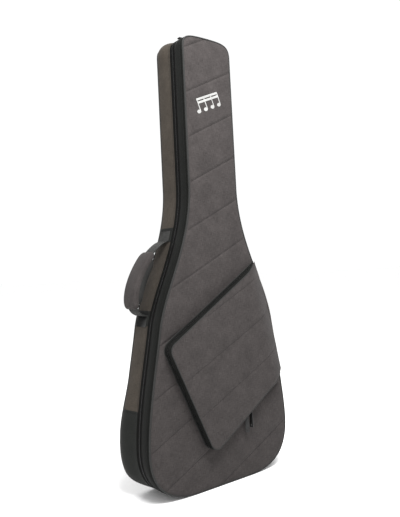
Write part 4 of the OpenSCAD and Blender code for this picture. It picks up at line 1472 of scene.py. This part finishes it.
@dataclass
class Handle:
    """The side handle: a webbing bow with a padded sleeve, swinging on its sewn ends."""

    top: float = 575 * MM
    foot: float = 404 * MM
    back: float = 23 * MM
    bow_upper: tuple[float, float] = (52 * MM, 35 * MM)
    bow_lower: tuple[float, float] = (74 * MM, 18 * MM)
    webbing: tuple[float, float] = (38 * MM, 2.4 * MM)
    sleeve: tuple[float, float, float] = (46 * MM, 8.5 * MM, 9.0 * MM)
    # partly painted shadow: the dark pad under the sleeve is deep so it also fills the shade between handle
    # and wall
    palm_and_shadow: tuple[float, float, float] = (44 * MM, 22.0 * MM, 1.0 * MM)
    covered: tuple[float, float] = (0.235, 0.815)
    binding: tuple[float, float] = (6 * MM, 0.8 * MM)

    def __post_init__(self) -> None:
        """Finds the handle's ends on the outline."""
        head = np.array([-OUTLINE.half_at(self.top), self.top])
        foot = np.array([-OUTLINE.half_at(self.foot), self.foot])
        self.head = head
        self.run = float(np.linalg.norm(foot - head))
        self.down = (foot - head) / self.run
        self.out = np.array([self.down[1], -self.down[0]])

    def bow(self, t: Points) -> Points:
        """Points of the bow: t runs from 0 at its upper end to 1 at its lower end."""
        s = 1 - t
        (h1, a1), (h2, a2) = self.bow_upper, self.bow_lower
        height = 3 * s * s * t * h1 + 3 * s * t * t * h2
        along = 3 * s * s * t * a1 + 3 * s * t * t * (self.run + a2) + t**3 * self.run
        x, z = (self.head + height[:, None] * self.out + along[:, None] * self.down).T
        return np.stack([x, np.full(len(x), self.back), z], axis=1)

    def build(self) -> None:
        """Makes the webbing, the sleeve and the sewn ends."""
        side = Vector((0, 1, 0))
        width, thick = self.webbing
        for name, end, still, free, nodes in (("upper", 0.065, 0.07, 0.2, ["handle_strap"]),
                                              ("lower", 0.957, 0.95, 0.83, [])):
            line = self.bow(np.linspace(end, 0.5, 36))
            strap = ribbon(line, side, round_section(width, thick, 1.0 * MM))
            made = piece(f"handle_strap_{name}", strap, None, WEB, nodes)
            start, stop = (Vector(self.bow(np.array([t]))[0]) for t in (still, free))
            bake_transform(made)
        t = np.linspace(*self.covered, 50)
        ends = np.minimum(t - t[0], t[-1] - t)
        grow = np.stack([0.66 + 0.34 * rolled(ends, 0.09), 0.36 + 0.64 * rolled(ends, 0.06)], axis=1)
        section = soft_section(*self.sleeve)
        made = piece("handle_sleeve_padded", ribbon(self.bow(t), side, section, grow), "handle", HEATHER,
                     ["handle_sleeve", "handle_core"])
        bm = ribbon(self.bow(t), side, bound_edge(section, 1, *self.binding), grow)
        piece("handle_binding_rear", bm, "handle", WRAP)
        # a dark pad under the sleeve, partly its dark underside and partly painted shadow between the handle
        # and the wall
        inner = t[4:-4]
        ends = np.minimum(inner - inner[0], inner[-1] - inner)
        grow = np.stack([0.75 + 0.25 * rolled(ends, 0.09), 0.45 + 0.55 * rolled(ends, 0.12)], axis=1)
        bm = ribbon(self.bow(inner), side, soft_section(*self.palm_and_shadow), grow)
        palm_and_shadow = piece("handle_palm_pad", bm, "handle", WRAP)
        piece("handle_end_stubs_webbing", rounded_copy("handle_end_stubs", 0.5 * MM), "shell", WEB_PLAIN,
              ["handle_end_stubs"])


@dataclass
class Straps:
    """The two shoulder straps on the back, with their patch, locks and tabs."""

    head: tuple[float, float] = (27 * MM, 640 * MM)
    foot: tuple[float, float] = (140 * MM, 150 * MM)
    axis: float = 6 * MM
    rise: float = 14 * MM
    margin: float = 8.3 * MM
    pad: tuple[float, float] = (60 * MM, 0.62)
    webbing: tuple[float, float] = (25 * MM, 2.4 * MM)
    pad_size: tuple[float, float] = (54 * MM, 10 * MM)

    def line(self, side: int, distances: Points, lift: float = 0.0) -> Points:
        """Points of a strap's bow at distances from its upper end."""
        head, foot = np.array(self.head), np.array(self.foot)
        run = float(np.linalg.norm(foot - head))
        x, z = (head + distances[:, None] * (foot - head) / run).T
        y = REAR + self.axis + self.rise * np.sin(math.pi * distances / run) + lift
        return np.stack([side * x, y, z], axis=1)

    def build(self) -> None:
        """Makes both straps and their fixed ends."""
        run = math.dist(self.head, self.foot)
        for name, side in (("left", -1), ("right", 1)):
            body = f"{name}_strap"
            lean = Vector(((self.foot[0] - self.head[0]) * side, 0, self.foot[1] - self.head[1])).normalized()
            across = Vector((0, 1, 0)).cross(lean).normalized()
            web = self.line(side, np.linspace(self.margin, run - self.margin, 70))
            bm = ribbon(web, across, round_section(*self.webbing, 1.0 * MM))
            piece(f"{name}_strap_webbing_woven", bm, body, WEB, [f"{name}_strap_webbing"])
            start, end = self.pad[0], self.pad[1] * run
            s = np.linspace(start, end, 80)
            near = np.minimum(s - start, end - s)
            grow = np.stack([0.72 + 0.28 * rolled(near, 26 * MM), 0.55 + 0.45 * rolled(near, 9 * MM)], axis=1)
            width, thick = self.pad_size
            middle = self.line(side, s, self.webbing[1] / 2 + thick / 2 + 0.1 * MM)
            section = soft_section(width, thick / 2, thick / 2 - 0.1 * MM)
            made = piece(f"{name}_strap_pad_mesh", ribbon(middle, across, section, grow), body, MESH,
                         [f"{name}_strap_pad"])
            for edge, word in ((1, "outer"), (-1, "inner")):
                bm = ribbon(middle, across, bound_edge(section, edge, 5 * MM, 0.5 * MM), grow)
                piece(f"{name}_strap_binding_{word}", bm, body, WRAP)
            lock = rounded_copy(f"{name}_ladder_lock", 0.7 * MM, 2)
            piece(f"{name}_ladder_lock_moulded", lock, body, BUCKLE, [f"{name}_ladder_lock"])
        for node, finish, r in (("strap_top_patch", NYLON_PLAIN, 0.8), ("strap_bottom_tabs", WEB_PLAIN, 0.8),
                                ("hang_loop_patch", WEB_PLAIN, 0.6)):
            piece(f"{node}_sewn", rounded_copy(node, r * MM, 2), "shell", finish, [node])


@dataclass
class SmallParts:
    """Sliders, pulls, the hang loop, the seam tab and what is inside the bag."""

    loop: tuple[float, float, float] = (25 * MM, 2.4 * MM, 13 * MM)

    def hang_loop(self) -> None:
        """The loop of webbing that hangs from its bar."""
        low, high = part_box("hang_loop")
        width, thick, deep = self.loop
        r = deep / 2 - thick / 2
        y, top, foot = (low.y + high.y) / 2, high.z - deep / 2, low.z + deep / 2
        a = np.linspace(0, math.pi, 13)
        line = [(0, y + r * math.cos(t), top + r * math.sin(t)) for t in a]
        line += [(0, y - r, z) for z in np.linspace(top, foot, 12)[1:-1]]
        line += [(0, y - r * math.cos(t), foot - r * math.sin(t)) for t in a]
        line += [(0, y + r, z) for z in np.linspace(foot, top, 12)[1:-1]]
        bm = ribbon(np.array(line), Vector((1, 0, 0)), round_section(width, thick, 1.0 * MM), closed=True)
        piece("hang_loop_webbing", bm, "hang_loop", WEB, ["hang_loop"])

    def build(self) -> None:
        """Makes them all."""
        self.hang_loop()
        for zip_name in ("main", "pocket"):
            for side in ("left", "right"):
                slider, pull = f"{zip_name}_slider_{side}", f"{zip_name}_pull_{side}"
                piece(f"{slider}_cast", rounded_copy(slider, 0.45 * MM, 3), slider, SLIDER, [slider])
                piece(f"{pull}_moulded", rounded_copy(pull, 0.4 * MM, 2), pull, PULL, [pull])
        piece("seam_tab_folded", rounded_copy("seam_tab", 0.4 * MM), "lid", WRAP_PLAIN, ["seam_tab"])
        for node in ("neck_strap_hook", "neck_strap_loop"):
            body = "neck_hook" if node.endswith("hook") else "neck_loop"
            piece(f"{node}_tape", rounded_copy(node, 0.4 * MM), body, WEB_PLAIN, [node])
        for node, r in (("neck_cradle", 5.0), ("end_pad", 4.0)):
            made = piece(f"{node}_padded", rounded_copy(node, r * MM, 4), "shell", PLUSH, [node])
        for node in ("back_foam", "side_wall_foam", "front_foam"):
            dress(node, FOAM)


# ---------------------------------------------------------------- the studio
@dataclass
class Studio:
    """A pale floor, soft light and the camera."""

    eye: tuple[float, float, float] = (-0.8707, -1.0844, 0.5040)
    azimuth: float = -38.57
    elevation: float = -1.09
    roll: float = -2.65
    lens: float = 39.92
    floor_size: float = 300.0
    floor_tone: float = 0.96
    sky: float = 0.62
    exposure: float = 0.75

    def camera(self) -> None:
        """Places the camera."""
        a, e, r = (math.radians(v) for v in (self.azimuth, self.elevation, self.roll))
        back = Vector((math.sin(a) * math.cos(e), -math.cos(a) * math.cos(e), math.sin(e)))
        right = (-back).cross(Vector((0, 0, 1))).normalized()
        up = right.cross(-back)
        x = right * math.cos(r) + up * math.sin(r)
        y = -right * math.sin(r) + up * math.cos(r)
        data = bpy.data.cameras.new("camera")
        data.lens, data.sensor_width = self.lens, 36.0
        data.clip_start, data.clip_end = 0.01, 50.0
        made = bpy.data.objects.new("camera", data)
        turn = Matrix((x, y, back)).transposed().to_4x4()
        turn.translation = self.eye
        made.matrix_world = turn
        bpy.context.scene.collection.objects.link(made)
        bpy.context.scene.camera = made

    def floor(self) -> None:
        """A wide pale floor."""
        bm = bmesh.new()
        bmesh.ops.create_grid(bm, x_segments=1, y_segments=1, size=self.floor_size)
        data = bpy.data.meshes.new("floor")
        bm.to_mesh(data)
        bm.free()
        made = bpy.data.objects.new("floor", data)
        bpy.context.scene.collection.objects.link(made)
        paint, _, shader = new_material("pale_floor")
        shader.inputs["Base Color"].default_value = (*[self.floor_tone] * 3, 1)
        shader.inputs["Roughness"].default_value = 0.9
        data.materials.append(paint)

    def light(self, name: str, at: tuple[float, float, float], size: float, power: float) -> None:
        """A square soft light that looks at the bag's middle."""
        data = bpy.data.lights.new(name, "AREA")
        data.size, data.energy = size, power
        made = bpy.data.objects.new(name, data)
        made.location = at
        made.rotation_mode = "QUATERNION"
        made.rotation_quaternion = (Vector((0, 0, 0.55)) - Vector(at)).to_track_quat("-Z", "Y")
        bpy.context.scene.collection.objects.link(made)

    def build(self) -> None:
        """Sets up the whole studio."""
        self.camera()
        self.floor()
        world = bpy.data.worlds.new("studio")
        world.use_nodes = True
        world.node_tree.nodes["Background"].inputs["Color"].default_value = (1, 1, 1, 1)
        world.node_tree.nodes["Background"].inputs["Strength"].default_value = self.sky
        bpy.context.scene.world = world
        bpy.context.scene.view_settings.view_transform = "Standard"
        bpy.context.scene.view_settings.exposure = self.exposure
        self.light("key", (-0.4, -1.1, 2.05), 0.8, 36.0)
        self.light("back", (0.6, 2.2, 2.2), 1.4, 10.0)


def main() -> None:
    """Builds the bag's pieces in order, then the studio."""
    logging.basicConfig(level=logging.INFO, format="%(name)s: %(message)s")
    Walls().build()
    MainZip().build()
    front = FrontPanel().build()
    BackPanel().build()
    Pocket().build(front)
    Handle().build()
    Straps().build()
    SmallParts().build()
    Studio().build()


if __name__ == "__main__":
    main()
